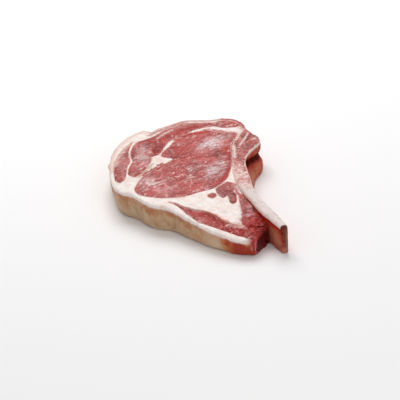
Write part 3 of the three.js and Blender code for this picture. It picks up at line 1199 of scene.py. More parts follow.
@dataclass
class FlankMuscle(Muscle):
    """Muscle at the flank end: sunk below the lip of fat at its upper side, torn at its free end."""

    # How far its upper side lies below the fat's lip, and the distance over which that fades
    sunk: float = 1.4
    sunk_reach: float = 5.0
    # Where along the flank's way the end is torn, its lumps, and the height of the pale folds
    torn_from: float = 100.0
    torn_length: float = 18.0
    torn: float = 2.0
    torn_lumps: Relief = Relief(1.0, 8.0, 2)
    torn_reach: float = 2.0
    fold: float = 0.9
    end_swell: float = -1.5
    # How far the free end frays into upright strands, and how far the silver skin draws back there
    fray: float = 1.4
    fray_size: float = 5.5
    fray_share: float = 0.35
    skin_back: float = 6.0

    def torn_share(self, flat: Array) -> Array:
        """Gives how far places lie in the torn end, from 0 to 1 along the flank's way."""
        return ramp(flat @ np.array(SLICE.flank_way), self.torn_from, self.torn_length)

    def relief(self, flat: Array, depth: Array) -> Array:
        """Adds to the cut face the step under the lip, and ridged lumps towards the free end.

        Args:
            flat: Places, two numbers each.
            depth: How deep they lie inside the outline.

        Returns:
            Heights in millimetres.
        """
        step = self.sunk * np.exp(-line_gap(flat, spline(self.outline.left, SIDE_SAMPLES)) / self.sunk_reach)
        ridges = 1.0 - 2.0 * np.abs(self.torn_lumps.at(flat))
        torn = self.torn * self.torn_share(flat) * ridges * smooth(depth, 0.0, self.torn_reach)
        folds = self.fold * painted(self.marks.get(Mark.PALE, ()), flat)
        return super().relief(flat, depth) - step + torn + folds

    def shaped(self, ring: Array) -> Array:
        """Frays the free end: noise drawn out along the height pushes it in and out.

        Args:
            ring: Rings as rows by columns by three.

        Returns:
            The frayed rings.
        """
        drawn = ring * np.array([1.0, 1.0, self.fray_share])
        fray = self.fray * self.torn_share(ring[..., :2]) * NOISE(drawn, self.fray_size, 2)
        moved = ring.copy()
        moved[..., :2] += fray[..., None] * np.array(SLICE.flank_way)
        return moved

    def bare(self, flat: Array) -> Array:
        """Takes the silver skin off the torn end, by a distance that grows along the flank's way."""
        return self.skin_back * self.torn_share(flat)


EYE = Outline(
    left=(
        (-35, -51), (-50, -46), (-60, -36), (-61.5, -27), (-58.5, -15), (-54, -2), (-45, 9), (-32.5, 24),
        (-25, 31), (-21, 37), (-27, 40.5), (-33, 46), (-31, 57), (-25, 67), (-20.5, 77), (-14.5, 90),
        (-3, 96), (8, 100), (19, 103),
    ),
    right=(
        (-35, -51), (-13, -50), (5, -41.5), (18, -36.5), (29, -25.5), (35, -15), (38, -3), (40, 8),
        (40.5, 17), (40.7, 26), (41, 34), (41.2, 42), (41.2, 51), (42, 61), (43.5, 70), (46.5, 79),
        (51, 88), (36, 94.5), (19, 103),
    ),
)
CAP = Outline(
    left=(
        (-62, -1), (-68, 6), (-68.3, 18), (-66.5, 28), (-64, 38), (-66, 49), (-66.3, 60), (-64.5, 72),
        (-60, 84), (-51, 90.5), (-41, 97.5), (-31, 109), (-19, 118.5), (-8, 126), (9, 125.5), (24, 123.5),
        (38, 126.5), (49, 120.5), (56, 110),
    ),
    right=(
        (-62, -1), (-56, 5), (-51, 16), (-47, 26), (-44.5, 35), (-43, 45), (-35, 52), (-31, 64),
        (-27.5, 74), (-21, 86), (-13, 94), (-5, 99.5), (3, 105.5), (13, 110.5), (22, 115.5), (30, 110.5),
        (38, 106.5), (48, 107.5), (56, 110),
    ),
)
OUTER = Outline(
    left=(
        (-77, -12), (-81.5, -5), (-83.5, 10), (-84, 26), (-83.5, 40), (-80.5, 52), (-77, 64), (-72, 76),
        (-64, 87),
    ),
    right=(
        (-77, -12), (-72.5, -5), (-70.7, 10), (-69.8, 25), (-66.8, 38), (-68.6, 52), (-68.6, 64), (-66.5, 76),
        (-64, 87),
    ),
)
STRIP = Outline(
    left=(
        (-27, -60), (-21, -61.5), (-13, -68.5), (-5, -73), (3, -76.5), (11, -80), (19, -87), (27, -97),
        (37, -103.5), (50, -103), (69.5, -106),
    ),
    right=(
        (-27, -60), (-21, -64.5), (-15, -73), (-10, -81.5), (-5, -88), (1, -95), (9, -102), (20, -109.5),
        (33, -117.5), (44, -123.5), (56.2, -127.8),
    ),
)
BETWEEN_RIBS = Outline(
    left=(
        (44, -45), (44.5, -52), (44.3, -60), (45.3, -70), (46.3, -80), (45.5, -90), (44.5, -98), (47, -110),
    ),
    right=((44, -45), (53, -52), (58, -60), (61, -70), (64, -80), (68, -90), (71, -98), (71, -106)),
)
LOBE_UPPER = Outline(
    left=((34, -23), (28, -29), (22.5, -35), (22, -42), (25, -50), (28.5, -54.5)),
    right=((34, -23), (38.3, -25), (40, -33), (40.3, -39), (35.5, -47), (28.5, -54.5)),
)
LOBE_LOWER = Outline(
    left=((33, -36), (33, -48), (34.2, -56), (34.7, -62.5), (37.5, -66)),
    right=((33, -36), (41, -46), (42, -56), (41.3, -62.5), (37.5, -66)),
)
SMALL = Outline(
    left=((17.5, -44), (13.3, -47), (13.2, -51.5), (17, -55)),
    right=((17.5, -44), (21.3, -46.5), (21.3, -51.5), (17, -55)),
)
RIB = Outline(
    left=(
        (61, 101.5), (56, 94.5), (51.5, 86), (47.5, 76), (44.5, 63), (43, 48), (42.5, 34), (41.8, 16),
        (41.5, -1), (42.5, -18), (45, -34), (50, -51), (55.5, -66), (59.5, -80), (65, -96), (72.5, -112),
        (80.5, -129),
    ),
    right=(
        (61, 101.5), (65, 93), (69, 84.5), (73.5, 77), (73.5, 62), (65, 48), (58.5, 34), (55.5, 16),
        (56.5, -1), (58.5, -18), (60, -34), (62.7, -51), (66.5, -66), (71.5, -80), (78, -96), (83.5, -112),
        (88.5, -127),
    ),
)
# Left round the cover, from the flank end over front and back to the bone, and right along the rib
COVER = Outline(
    left=(
        (53, -131), (39, -128.5), (24, -120), (9, -109), (-4, -95), (-14, -85), (-27, -71), (-45, -62.5),
        (-55, -52), (-65, -38.5), (-78, -29), (-85.5, -12), (-88.5, 14), (-89, 40), (-86.5, 65), (-78, 88),
        (-66, 105), (-53, 114), (-46, 109), (-37, 117), (-22, 125.5), (-8, 133.5), (11, 132.5), (22, 130.5),
        (37, 133), (52, 126), (59, 113), (61, 101),
    ),
    right=(
        (68, -105), (66.5, -95), (64, -85), (62, -75), (60.5, -66), (58.5, -58), (56.5, -50), (54.5, -42),
        (53, -34), (51.5, -25), (50.5, -16), (49.5, -7), (49, 2), (49, 10), (49, 18), (49.5, 26),
        (50, 34), (51, 42), (52, 50), (53, 57), (54, 63), (55, 69), (56, 74), (57, 79),
        (58, 84), (59, 89), (60, 93), (60.5, 97),
    ),
)


@dataclass
class FatBody(Piece):
    """The fat as one piece: cover, seams between the muscles and the wide field at the front.

    Its top and foot are grids between the rim and the rib, which dip into a seam beside each muscle and are
    left out under it. Walls close the openings, and the side of the cover closes the rim.
    """

    name: str = "fat_cover"
    node: str = "fat"
    # Grid: rows round the rim, columns to the rib, closer in a band along the rim, and columns down the side
    rows: int = 510
    columns: int = 146
    rim_columns: int = 22
    rim_band: float = 12.0
    band_share: float = 0.3
    side_columns: int = 22
    ragged: float = 0.5
    in_bone: float = 1.5
    # Rim: how far the face sinks towards it, where along +Y that fades, and the radius of its edge
    shoulder: float = 2.0
    shoulder_width: float = 9.0
    shoulder_fade_from: float = 50.0
    shoulder_fade: float = 55.0
    edge_round: float = 1.3
    # Side: its bulge, and waves and slits that are drawn out along the height
    swell: float = 0.8
    side_waves: Relief = Relief(0.55, 9.0, 3)
    side_share: float = 0.3
    slit: float = 0.7
    slit_apart: float = 13.0
    slit_width: float = 0.09
    # Foot: how far its edge lies inside the rim, and how far from a muscle it starts to rise
    foot: float = 2.4
    foot_height: float = 3.5
    foot_waves: Relief = Relief(2.2, 13.0, 3)
    foot_seam: float = 4.0
    # Muscles: the seam beside one, the pocket under its edge, and how deep under it cells are left out
    nearby: float = 6.0
    seam: float = 0.35
    seam_reach: float = 1.0
    pocket_slope: float = 1.6
    pocket: float = 2.4
    opening: float = 2.6
    kept_border: int = 2
    end_rows: int = 5
    holes: tuple[Outline, ...] = (EYE, CAP, OUTER, STRIP, BETWEEN_RIBS, LOBE_UPPER, LOBE_LOWER, SMALL, RIB)
    # Cut face: the lip over the flank strip, waves, creases away from muscles and rim, and folds in one place
    lip: float = 0.8
    lip_reach: float = 5.0
    lip_points: int = 9
    lip_span: Span = (-0.5, 1.0)
    swells: Relief = Relief(0.28, 14.0, 2)
    nubs: Relief = Relief(0.1, 3.0, 2)
    creases: Relief = Relief(1.05, 7.0, 2)
    crease_turn: float = -42.0
    crease_share: float = 0.35
    crease_off_muscle: Span = (0.5, 4.0)
    crease_off_rim: Span = (4.0, 12.0)
    folds: Patch = Patch((38, -98), (10, 7), -10.0)
    fold: float = 0.6
    fold_size: float = 5.0
    fold_share: float = 0.4
    # Painted on the cut face, and then on the side
    tan: Paint = (Stroke(((-58, 0), (-52, 10), (-47, 19), (-42.5, 28)), 2.0, 0.8),)
    lip_stain: Paint = (
        Stroke(((8, -79.5), (18, -86), (25, -94), (31, -99)), 1.7, 0.75),
        Stroke(((28, -97), (36, -101.5), (44, -101)), 1.4, 0.4),
    )
    fresh: Paint = (
        Stroke(((-18, 86), (-11, 93.5), (-4, 98.5)), 3.0, 0.9),
        Stroke(((-5, 96.5), (4.6, 99.6), (12, 102.2), (19, 104.8)), 1.7, 1.0),
        Stroke(((-53, 3), (-46, 11.2), (-38, 21.4), (-33, 27)), 2.0, 1.0),
        Stroke(((48, 82), (44, 68), (42, 50), (41.8, 30), (40.8, 10)), 1.3, 0.85),
        Stroke(((53, -131), (60, -120), (68, -106)), 5.0, 1.0),
        Stroke(((45.8, -70), (46.4, -80), (45.4, -90), (44.5, -97)), 1.8, 0.55),
        Stroke(((-18, 126), (-8, 131.5), (11, 131), (22, 129), (37, 131.5)), 3.2, 0.7),
        Stroke(((-46, 101), (-34, 111), (-21, 120.5), (-8, 128)), 3.0, 0.7),
        Stroke(((-45, 109), (-37, 116), (-22, 124.5), (-8, 131)), 3.0, 0.35),
        Stroke(((37, 131.5), (52, 125), (58, 113), (60, 103)), 6.0, 0.9),
        Stroke(((20, 105), (36, 97), (50, 90.5)), 2.2, 0.85),
        Patch((70, -101), (8, 11), 0.0, 1.0),
        Patch((22, 114), (11, 2.6), 0.0, 0.9),
        Stroke(((40.5, -28), (42.5, -39), (43, -48)), 2.6, 0.85),
        Patch((36.5, -43), (4, 4), 0.0, 0.8),
    )
    blush: Paint = (
        Stroke(((-88, 18), (-88.5, 44), (-85.5, 64), (-77, 86), (-66, 102), (-53, 112)), 5.0, 0.75),
        Stroke(((-47, 108), (-30, 120), (-8, 131)), 4.0, 0.6),
        Patch((-36, 39), (8, 8), 0.0, 0.4),
    )
    stain: Paint = (
        Patch((58, -130), (34, 18), -20.0, 1.1),
        Patch((14, -114), (30, 14), -36.0, 0.2),
        Patch((60, 106), (9, 10), 0.0, 0.75),
    )
    side_pale: Paint = (
        Patch((13, -114), (11, 9), -36.0, 0.5),
        Patch((-62, -45), (10, 8), -50.0, 0.25),
    )
    side_fray: float = 9.0
    side_fray_size: float = 13.0
    # Small tags of loose skin on the side: place, height and radius
    tags: tuple[tuple[Point, float, float], ...] = (((-89, 38), 27.0, 3.0), ((52.5, -131), 10.0, 2.4))
    tag_swell: float = 1.6
    tag_pale: float = 0.5

    slot = Slot.FAT
    # What the cut faces carry as their place below the rim, and the side as its distance from a muscle
    cut_below = -2.0
    side_gap = 9.0

    def depth(self, flat: Array) -> Array:
        """Measures how deep places lie inside a muscle or the rib, only nearby.

        Args:
            flat: Places, two numbers each.

        Returns:
            Distance to the nearest outline, negative in the fat.
        """
        deepest = np.full(flat.shape[:-1], -self.nearby)
        for hole in self.holes:
            loop = hole.loop(past=self.nearby)
            low, high = loop.min(axis=0) - self.nearby, loop.max(axis=0) + self.nearby
            near = np.all((flat > low) & (flat < high), axis=-1)
            deepest[near] = np.maximum(deepest[near], loop_depth(flat[near], loop))
        return deepest

    def top_height(self, flat: Array, depth: Array, inset: Array) -> Array:
        """Gives the height of the cut face.

        The slice's height, less a rounded shoulder towards the rim and the seams beside muscles, plus a lip
        over the flank strip, low folds at its inner end and a little noise.

        Args:
            flat: Places, two numbers each.
            depth: How deep they lie inside a muscle.
            inset: How far in from the rim they lie.

        Returns:
            Heights in millimetres.
        """
        front = 1.0 - ramp(flat[..., 1], self.shoulder_fade_from, self.shoulder_fade)
        slope = self.shoulder * front * (1.0 - ramp(inset, 0.0, self.shoulder_width)) ** 2
        edge = self.edge_round * (1.0 - ramp(inset, 0.0, self.edge_round)) ** 2
        strip = spline(STRIP.left[: self.lip_points], SIDE_SAMPLES)
        lip = self.lip * np.exp(-line_gap(flat, strip) / self.lip_reach) * smooth(-depth, *self.lip_span)
        ridges = self.folds.cover(flat) * NOISE(flat * np.array([self.fold_share, 1.0]), self.fold_size, 2)
        creased = self.creases.at(drawn_out(flat, self.crease_turn, self.crease_share))
        creased = creased * smooth(-depth, *self.crease_off_muscle) * smooth(inset, *self.crease_off_rim)
        uneven = self.swells.at(flat) + self.nubs.at(flat) + creased
        return SLICE.top(flat) - slope - edge + lip + self.fold * ridges + uneven - self.fall(depth)

    def fall(self, depth: Array) -> Array:
        """Gives how far the face falls: into the seam outside a muscle, and steeply under its edge inside."""
        outside = self.seam * np.exp(-np.maximum(-depth, 0.0) / self.seam_reach)
        return outside + self.pocket_slope * np.clip(depth, 0.0, self.pocket)

    def grid(self, rim: Array, bone: Array) -> tuple[Array, Array]:
        """Lays columns between the rim and the rib, closer together in a band along the rim.

        Args:
            rim: Points of the rim.
            bone: Points beside the rib.

        Returns:
            The places, and how far each lies in from the rim.
        """
        width = np.linalg.norm(bone - rim, axis=1)[:, None]
        band = np.minimum(self.rim_band, self.band_share * width)
        near = band * np.linspace(0.0, 1.0, self.rim_columns, endpoint=False)
        far = band + (width - band) * np.linspace(0.0, 1.0, self.columns - self.rim_columns)
        inset = np.hstack([near, far])
        share = (inset / width)[..., None]
        return rim[:, None] * (1.0 - share) + bone[:, None] * share, inset

    def side(self, rim: Array, way: Array, top: Array, foot: Array) -> tuple[Array, Array]:
        """Works out the cover's side, from the rim down to the foot.

        The side swells as half a sine wave, pulls in to the foot as a square, and is creased by noise that is
        drawn out along the height. A slit runs where a second noise is near zero, as a bell curve.

        Args:
            rim: Points of the rim.
            way: Unit steps inwards from the rim.
            top: Points of the top face's edge.
            foot: Points of the foot's edge.

        Returns:
            The side's points as rows by columns, both edges included, and how far each lies below the rim.
        """
        share = 0.5 - 0.5 * np.cos(np.pi * np.linspace(0.0, 1.0, self.side_columns))
        height = top[:, 2:] * (1.0 - share) + foot[:, 2:] * share
        inset = np.sum((foot - top)[:, :2] * way, axis=1)[:, None]
        pull = inset * (1.0 - ramp(height, 0.0, self.foot_height)) ** 2
        places = raised(np.broadcast_to(rim[:, None], height.shape + (2,)), height)
        drawn = places * np.array([1.0, 1.0, self.side_share])
        near_slit = NOISE(drawn + SLIT_SHIFT, self.slit_apart) / self.slit_width
        creases = self.side_waves.at(drawn) - self.slit * np.exp(-(near_slit**2))
        bulge = np.sin(np.pi * share) * self.swell + np.sin(np.pi * share) ** 0.5 * creases
        bulge = bulge + self.tag_swell * self.tagged(places)
        points = raised(top[:, None, :2] + (pull - bulge)[..., None] * way[:, None], height)
        points[:, 0], points[:, -1] = top, foot
        return points, top[:, 2:] - height

    def tagged(self, points: Array) -> Array:
        """Gives the tags of loose skin: a bell curve round each one's place and height.

        Args:
            points: Places in millimetres.

        Returns:
            How far a tag stands out at each place, from 0 to 1.
        """
        covers = []
        for place, height, radius in self.tags:
            away = points - np.array([*place, height])
            covers.append(np.exp(-np.sum(away * away, axis=-1) / radius**2))
        return np.max(covers, axis=0)

    def surface(self) -> Surface:
        """Works out the closed surface with its openings.

        Returns:
            The surface with its marks.
        """
        rim, inner = COVER.lines(self.rows, self.ragged)
        rib = np.array(RIB.left)[::-1]
        bone = np.column_stack([np.interp(inner[:, 1], rib[:, 1], rib[:, 0]) + self.in_bone, inner[:, 1]])
        way = (bone - rim) / np.linalg.norm(bone - rim, axis=1, keepdims=True)
        wave = self.foot + self.foot_waves.at(rim)
        flat, inset = self.grid(rim, bone)
        low_flat, _ = self.grid(rim + wave[:, None] * way, bone)
        depth, low_depth = self.depth(flat), self.depth(low_flat)
        top = raised(flat, self.top_height(flat, depth, inset))
        low = raised(low_flat, self.fall(low_depth) * smooth(low_depth, -self.foot_seam, 0.0))
        side, below = self.side(rim, way, top[:, 0], low[:, 0])
        whole = self.opened(depth)
        cover = int(np.argmin(whole[0]))
        skirt = Surface.of_grid(
            side, {Mark.FAT_GAP: np.full(below.shape, self.side_gap), Mark.BELOW_RIM: below}, wraps=False
        )
        free_end = self.cover_end(top[0, : cover + 1], low[0, : cover + 1], side[0], depth[0])
        bone_end = self.cover_end(top[-1], low[-1], side[-1], depth[-1])
        for turned in (skirt, free_end):
            turned.quads = turned.quads[:, ::-1]
        faces = self.faces(top, low, depth, low_depth, whole)
        surface = faces.joined(skirt).joined(free_end).joined(bone_end)
        surface.marks |= self.marks(surface)
        surface.points = SLICE.lean(surface.points)
        return surface

    def opened(self, depth: Array) -> Array:
        """Says which cells stay: those not under a muscle, and a border, but only the cover at the flank end.

        Args:
            depth: How deep the grid's points lie inside a muscle.

        Returns:
            Whether each cell stays.
        """
        deep = depth > self.opening
        under = deep[:-1, :-1] & deep[1:, :-1] & deep[:-1, 1:] & deep[1:, 1:]
        keep = self.kept_border
        under[-keep:] = False
        under[:, :keep] = under[:, -keep:] = False
        under[: self.end_rows, int(np.argmax(under[0])) :] = True
        return ~under

    def faces(self, top: Array, low: Array, depth: Array, low_depth: Array, whole: Array) -> Surface:
        """Joins the top, the foot and the walls of the openings.

        A wall stands between each cell that stays and one that doesn't. The rim, the last row and the cover's
        part of the first row have none, as other surfaces close them.

        Args:
            top: Points of the top face, the rim in the first column.
            low: Points of the foot.
            depth: How deep the top's points lie inside a muscle.
            low_depth: The same of the foot's points.
            whole: Which cells stay.

        Returns:
            The surface.
        """
        rows, columns = depth.shape
        size = rows * columns
        index = np.arange(size).reshape(rows, columns)
        face = np.stack([corner[whole] for corner in cell_corners(index)], axis=1)
        cover = int(np.argmin(whole[0]))
        padded = np.pad(whole, 1)
        padded[1:-1, 0] = True
        walls = []
        for axis in (0, 1):
            change = np.diff(padded.astype(int), axis=axis)
            change = change[:, 1:-1] if axis == 0 else change[1:-1]
            at = np.argwhere(change != 0)
            if axis == 0:
                at = at[((at[:, 0] > 0) | (at[:, 1] >= cover)) & (at[:, 0] < rows - 1)]
            first = index[at[:, 0], at[:, 1]]
            second = index[at[:, 0], at[:, 1] + 1] if axis == 0 else index[at[:, 0] + 1, at[:, 1]]
            turned = (change[at[:, 0], at[:, 1]] > 0) == (axis == 0)
            first, second = np.where(turned, first, second), np.where(turned, second, first)
            walls.append(np.stack([first, first + size, second + size, second], axis=1))
        points = np.vstack([top.reshape(-1, 3), low.reshape(-1, 3)])
        gap = -np.concatenate([depth.ravel(), low_depth.ravel()])
        marks = {Mark.FAT_GAP: gap, Mark.BELOW_RIM: np.full(gap.shape, self.cut_below)}
        return Surface(points, np.vstack([face, face[:, ::-1] + size, *walls]), marks)

    def cover_end(self, top: Array, low: Array, edge: Array, depth: Array) -> Surface:
        """Closes an end of the cover.

        A grid between the top's and the foot's edge. Its first column is the side's edge, and that edge's
        bulge fades across the grid as a square. The last column runs together at the top and at the foot, as
        the wall there has no points between.

        Args:
            top: Points of the top's edge, from the rim inwards.
            low: Points of the foot's edge.
            edge: Points of the side's edge, from top to foot.
            depth: How deep that row's points lie inside a muscle.

        Returns:
            The end's surface, which faces out at the last row.
        """
        share = ((edge[:, 2] - edge[0, 2]) / (edge[-1, 2] - edge[0, 2]))[:, None, None]
        points = top * (1.0 - share) + low * share
        fade = (1.0 - np.linspace(0.0, 1.0, len(top))) ** 2
        points = points + (edge[:, None] - points[:, :1]) * fade[None, :, None]
        points[:, -1] = np.where(share[:, 0] < 0.5, top[-1], low[-1])
        gap = np.broadcast_to(-depth[: len(top)], points.shape[:2])
        marks = {Mark.FAT_GAP: gap, Mark.BELOW_RIM: np.full(gap.shape, self.cut_below)}
        return Surface.of_grid(points, marks, wraps=False)

    def marks(self, surface: Surface) -> dict[Mark, Array]:
        """Gives the painted marks, those of the side shifted to and fro by noise.

        Args:
            surface: The whole surface, before it leans.

        Returns:
            The values by mark.
        """
        flat = surface.points[:, :2]
        drifted = flat + self.side_fray * NOISE.drift(surface.points, self.side_fray_size, 3, DRIFT_SIDE)
        pale = np.maximum(self.tag_pale * self.tagged(surface.points), painted(self.side_pale, drifted))
        return {
            Mark.TAN: painted(self.tan, flat),
            Mark.PALE: pale * (surface.marks[Mark.BELOW_RIM] > 0.0),
            Mark.LIP: painted(self.lip_stain, flat),
            Mark.FRESH: painted(self.fresh, flat),
            Mark.BLUSH: painted(self.blush, flat),
            Mark.STAIN_AND_SHADE: painted(self.stain, drifted),
        }


@dataclass(frozen=True)
class Sections:
    """The rib's sections: one row for each section, one column for each point of its ring."""

    # Unit step across, width, and distance from the sawn end
    way: Array
    width: Array
    run: Array
    # Share across, face, distance to the nearer side, height, depth of the hollow, and place
    share: Array
    on_top: Array
    on_foot: Array
    from_edge: Array
    height: Array
    dent: Array
    flat: Array

    @property
    def on_wall(self) -> Array:
        """Says which points lie on a wall."""
        return ~self.on_top & ~self.on_foot

    @property
    def at_right(self) -> Array:
        """Says which points lie nearer to the right side."""
        return self.share > 0.5


@dataclass
class Rib(Piece):
    """The rib: sawn across its spongy end, smooth along its shaft, and sawn off at its free end."""

    name: str = "rib_bone_dressed"
    node: str = "rib_bone"
    # Grid: sections along the rib, columns across the top, down a wall and across the foot, rings of the tip
    rows: int = 300
    columns: int = 40
    wall_columns: int = 26
    foot_columns: int = 20
    end_rows: int = 10
    end_swell: float = 0.8
    ragged: float = 0.25
    # Radii of the top's edges, from the sawn end to the shaft along +Y, and of the foot's
    sharp_round: float = 0.9
    shaft_round: float = 3.4
    widest_round: float = 0.45
    foot_round: float = 2.0
    shaft_from: float = 10.0
    shaft_to: float = -45.0
    # How far the foot lies inside each side, at even shares of the way, negative where it flares
    left_inset: tuple[float, ...] = (0, 0, 0, 0, 0, 0, 0, 0, 0, 0, 0, 0.3, 0.8, 1.3, 1.8, 2.1, 2.1)
    right_inset: tuple[float, ...] = (
        0, -1, -2, -2, -2.4, -8.5, -8.5, -8.5, -5, -2, 0, 0, 0, 0, 0.2, 0.3, 0.3,
    )
    # Hollow in the right wall: depth, middle along +Y and up, and where along +Y it deepens and ends
    hollow: float = 4.5
    hollow_centre: Point = (62.0, 16.5)
    hollow_slope: float = 0.2
    hollow_half: float = 5.0
    hollow_rise: Span = (10.0, 32.0)
    hollow_fall: Span = (66.0, 88.0)
    # Unevenness, and the places along +Y between which the sawn sponge and the speckled neck grow in
    wall_lumps: Relief = Relief(0.35, 6.0, 3)
    pits: Relief = Relief(0.25, 2.4, 2)
    waves: Relief = Relief(0.25, 16.0)
    wander: Relief = Relief(5.0, 7.0, 2)
    sawn_span: Span = (9.0, 30.0)
    neck_span: Span = (-58.0, -22.0)
    # Distance below the top, and in from the side on the foot, over which the walls' colour starts and ends
    wall_span: Span = (0.4, 2.4)
    right_bare: float = 0.7
    foot_span: Span = (1.0, 3.0)
    # Streaks of the bone, and marks painted on the top face
    streak_width: float = 3.2
    streak_length: float = 11.0
    fresh: Paint = (
        Stroke(((44, 26), (50, 24.5), (56, 24)), 1.6, 0.5),
        Stroke(((64, 65), (67.5, 61), (71, 63)), 1.6, 0.9),
    )
    speckled: Paint = (
        Stroke(((58, 26), (54, 14), (55, 0), (57, -16), (59.5, -34)), 4.5, 1.0),
        Patch((48, 16), (5, 9), 0.0, 0.8),
    )
    pale: Paint = (
        Stroke(((52.3, 59.8), (58, 75), (62.7, 88.9)), 1.1, 0.8),
        Stroke(((48.6, 73.1), (53, 86), (57.7, 97.6)), 1.1, 0.8),
        Patch((68.9, 73.6), (2.4, 2.4), 0.0, 0.7),
        Stroke(((45.5, 58), (46, 48), (45, 38), (45.5, 30)), 1.5, 0.8),
    )
    pale_fray: float = 0.5
    # Marks of the walls by place along +Y and height, the hollow's painted shade, and marks of the free end
    left_stain: Paint = (
        Stroke(((-88, 25), (-100, 26.5), (-112, 27), (-128, 26)), 3.0, 1.0),
        Patch((-104, 15), (7, 14), 0.0, 0.8),
    )
    right_stain: Paint = (
        Patch((74, 24), (12, 7), 0.0, 0.75),
        Patch((30, 8), (30, 5), 10.0, 0.15),
    )
    left_pale: Paint = (
        Patch((-117, 12), (12, 9), 0.0, 0.5),
        Stroke(((-98, 2.5), (-114, 2.2), (-131, 2)), 1.8, 0.5),
    )
    right_pale: Paint = (
        Patch((26, 6), (14, 6), 15.0, 0.4),
        Patch((44, 10), (8, 5), 0.0, 0.2),
    )
    left_tinge: float = 0.12
    hollow_shade_halo: float = 0.6
    hollow_shade_span: Span = (0.2, 0.95)
    hollow_shade_fray: Relief = Relief(0.2, 5.0, 3)
    pale_tip: Paint = (Patch((-131, 1), (4, 5), 0.0, 0.8),)
    dark_tip: Paint = (Patch((-131, 28), (5, 5), 0.0, 0.6),)
    tip_grey: float = 0.6
    tip_grey_span: Span = (84.5, 87.5)

    slot = Slot.BONE

    def profile(self) -> tuple[Array, Array]:
        """Lays out the ring of a section.

        Returns:
            The share across and the share up of each ring point, both from 0 to 1, as rows by columns.
        """
        across = np.linspace(0.0, 1.0, self.columns)
        down = np.linspace(1.0, 0.0, self.wall_columns + 2)[1:-1]
        back = np.linspace(1.0, 0.0, self.foot_columns)
        shares = np.concatenate([across, np.ones_like(down), back, np.zeros_like(down)])
        heights = np.concatenate([np.ones_like(across), down, np.zeros_like(back), down[::-1]])
        shape = (self.rows, len(shares))
        return np.broadcast_to(shares, shape), np.broadcast_to(heights, shape)

    def hollowed(self, along: Array, height: Array) -> Array:
        """Gives the hollow's depth: a bell curve over the height, for places along +Y where it runs."""
        centre = self.hollow_centre[1] + self.hollow_slope * (self.hollow_centre[0] - along)
        reach = smooth(along, *self.hollow_rise) * (1.0 - smooth(along, *self.hollow_fall))
        return self.hollow * reach * np.exp(-(((height - centre) / self.hollow_half) ** 2))

    def sections(self) -> Sections:
        """Works out the sections.

        Each is a box between the two sides, with its edges rounded by pulling points in along a circle, its
        foot narrowed or flared, and its right wall hollowed under the sawn end.

        Returns:
            The sections.
        """
        left, right = RIB.lines(self.rows, self.ragged)
        middle = 0.5 * (left + right)
        steps = np.linalg.norm(np.diff(middle, axis=0), axis=1)
        width = np.maximum(np.linalg.norm(right - left, axis=1), TINY)[:, None]
        way = (right - left) / width
        share, up = self.profile()
        on_top, on_foot = up == 1.0, up == 0.0
        from_edge = np.minimum(share, 1.0 - share) * width
        shaft = 1.0 - smooth(middle[:, 1:], self.shaft_to, self.shaft_from)
        round_top = self.sharp_round + (self.shaft_round - self.sharp_round) * shaft
        radius = np.minimum(round_top, self.widest_round * width)
        top = SLICE.thickness - rounded(from_edge, radius)
        foot = rounded(from_edge, self.foot_round)
        wall = self.foot_round + (SLICE.thickness - radius - self.foot_round) * up
        height = np.where(on_top, top, np.where(on_foot, foot, wall))
        knots = np.linspace(0.0, 1.0, len(self.left_inset))
        at = np.linspace(0.0, 1.0, self.rows)
        inset_left, inset_right = (
            np.interp(at, knots, inset)[:, None] for inset in (self.left_inset, self.right_inset)
        )
        low = 1.0 - height / SLICE.thickness
        narrow = np.where(share > 0.5, -inset_right, inset_left) * low * np.abs(2.0 * share - 1.0)
        along = left[:, 1:] * (1.0 - share) + right[:, 1:] * share
        dent = self.hollowed(along, height) * (share == 1.0)
        offset = share * width + narrow - dent
        flat = left[:, None] + offset[..., None] * way[:, None]
        run = np.concatenate([[0.0], np.cumsum(steps)])[:, None]
        return Sections(way, width, run, share, on_top, on_foot, from_edge, height, dent, flat)

    def roughened(self, at: Sections, neck: Array) -> Array:
        """Gives the sections' points: the top pitted and waved, the walls uneven.

        Args:
            at: The sections.
            neck: How far the pits show.

        Returns:
            The points.
        """
        plain = raised(at.flat, at.height)
        points = plain.copy()
        lumps = self.wall_lumps.at(plain) * at.on_wall
        uneven = self.pits.at(plain) * neck + self.waves.at(plain)
        outwards = np.where(at.at_right, 1.0, -1.0)
        points[..., 2] += np.where(at.on_top, uneven, 0.0)
        points[..., :2] += lumps[..., None] * outwards[..., None] * at.way[:, None]
        return points

    def marks(self, at: Sections, points: Array) -> dict[Mark, Array]:
        """Gives what the faces and walls carry for the finish, but for the sponge and the neck.

        Args:
            at: The sections.
            points: Their points.

        Returns:
            The values by mark.
        """
        wall_place = np.stack([at.flat[..., 1], at.height], axis=-1)
        at_left, at_right = at.on_wall & (at.share < 0.5), at.on_wall & at.at_right
        stained = np.maximum(painted(self.left_stain, wall_place), self.left_tinge) * at_left
        stained = np.maximum(stained, painted(self.right_stain, wall_place) * at_right)
        paled = painted(self.left_pale, wall_place) * at_left
        paled = paled + painted(self.right_pale, wall_place) * at_right
        below = SLICE.thickness - at.height
        flank = smooth(below - self.right_bare * at.at_right, *self.wall_span)
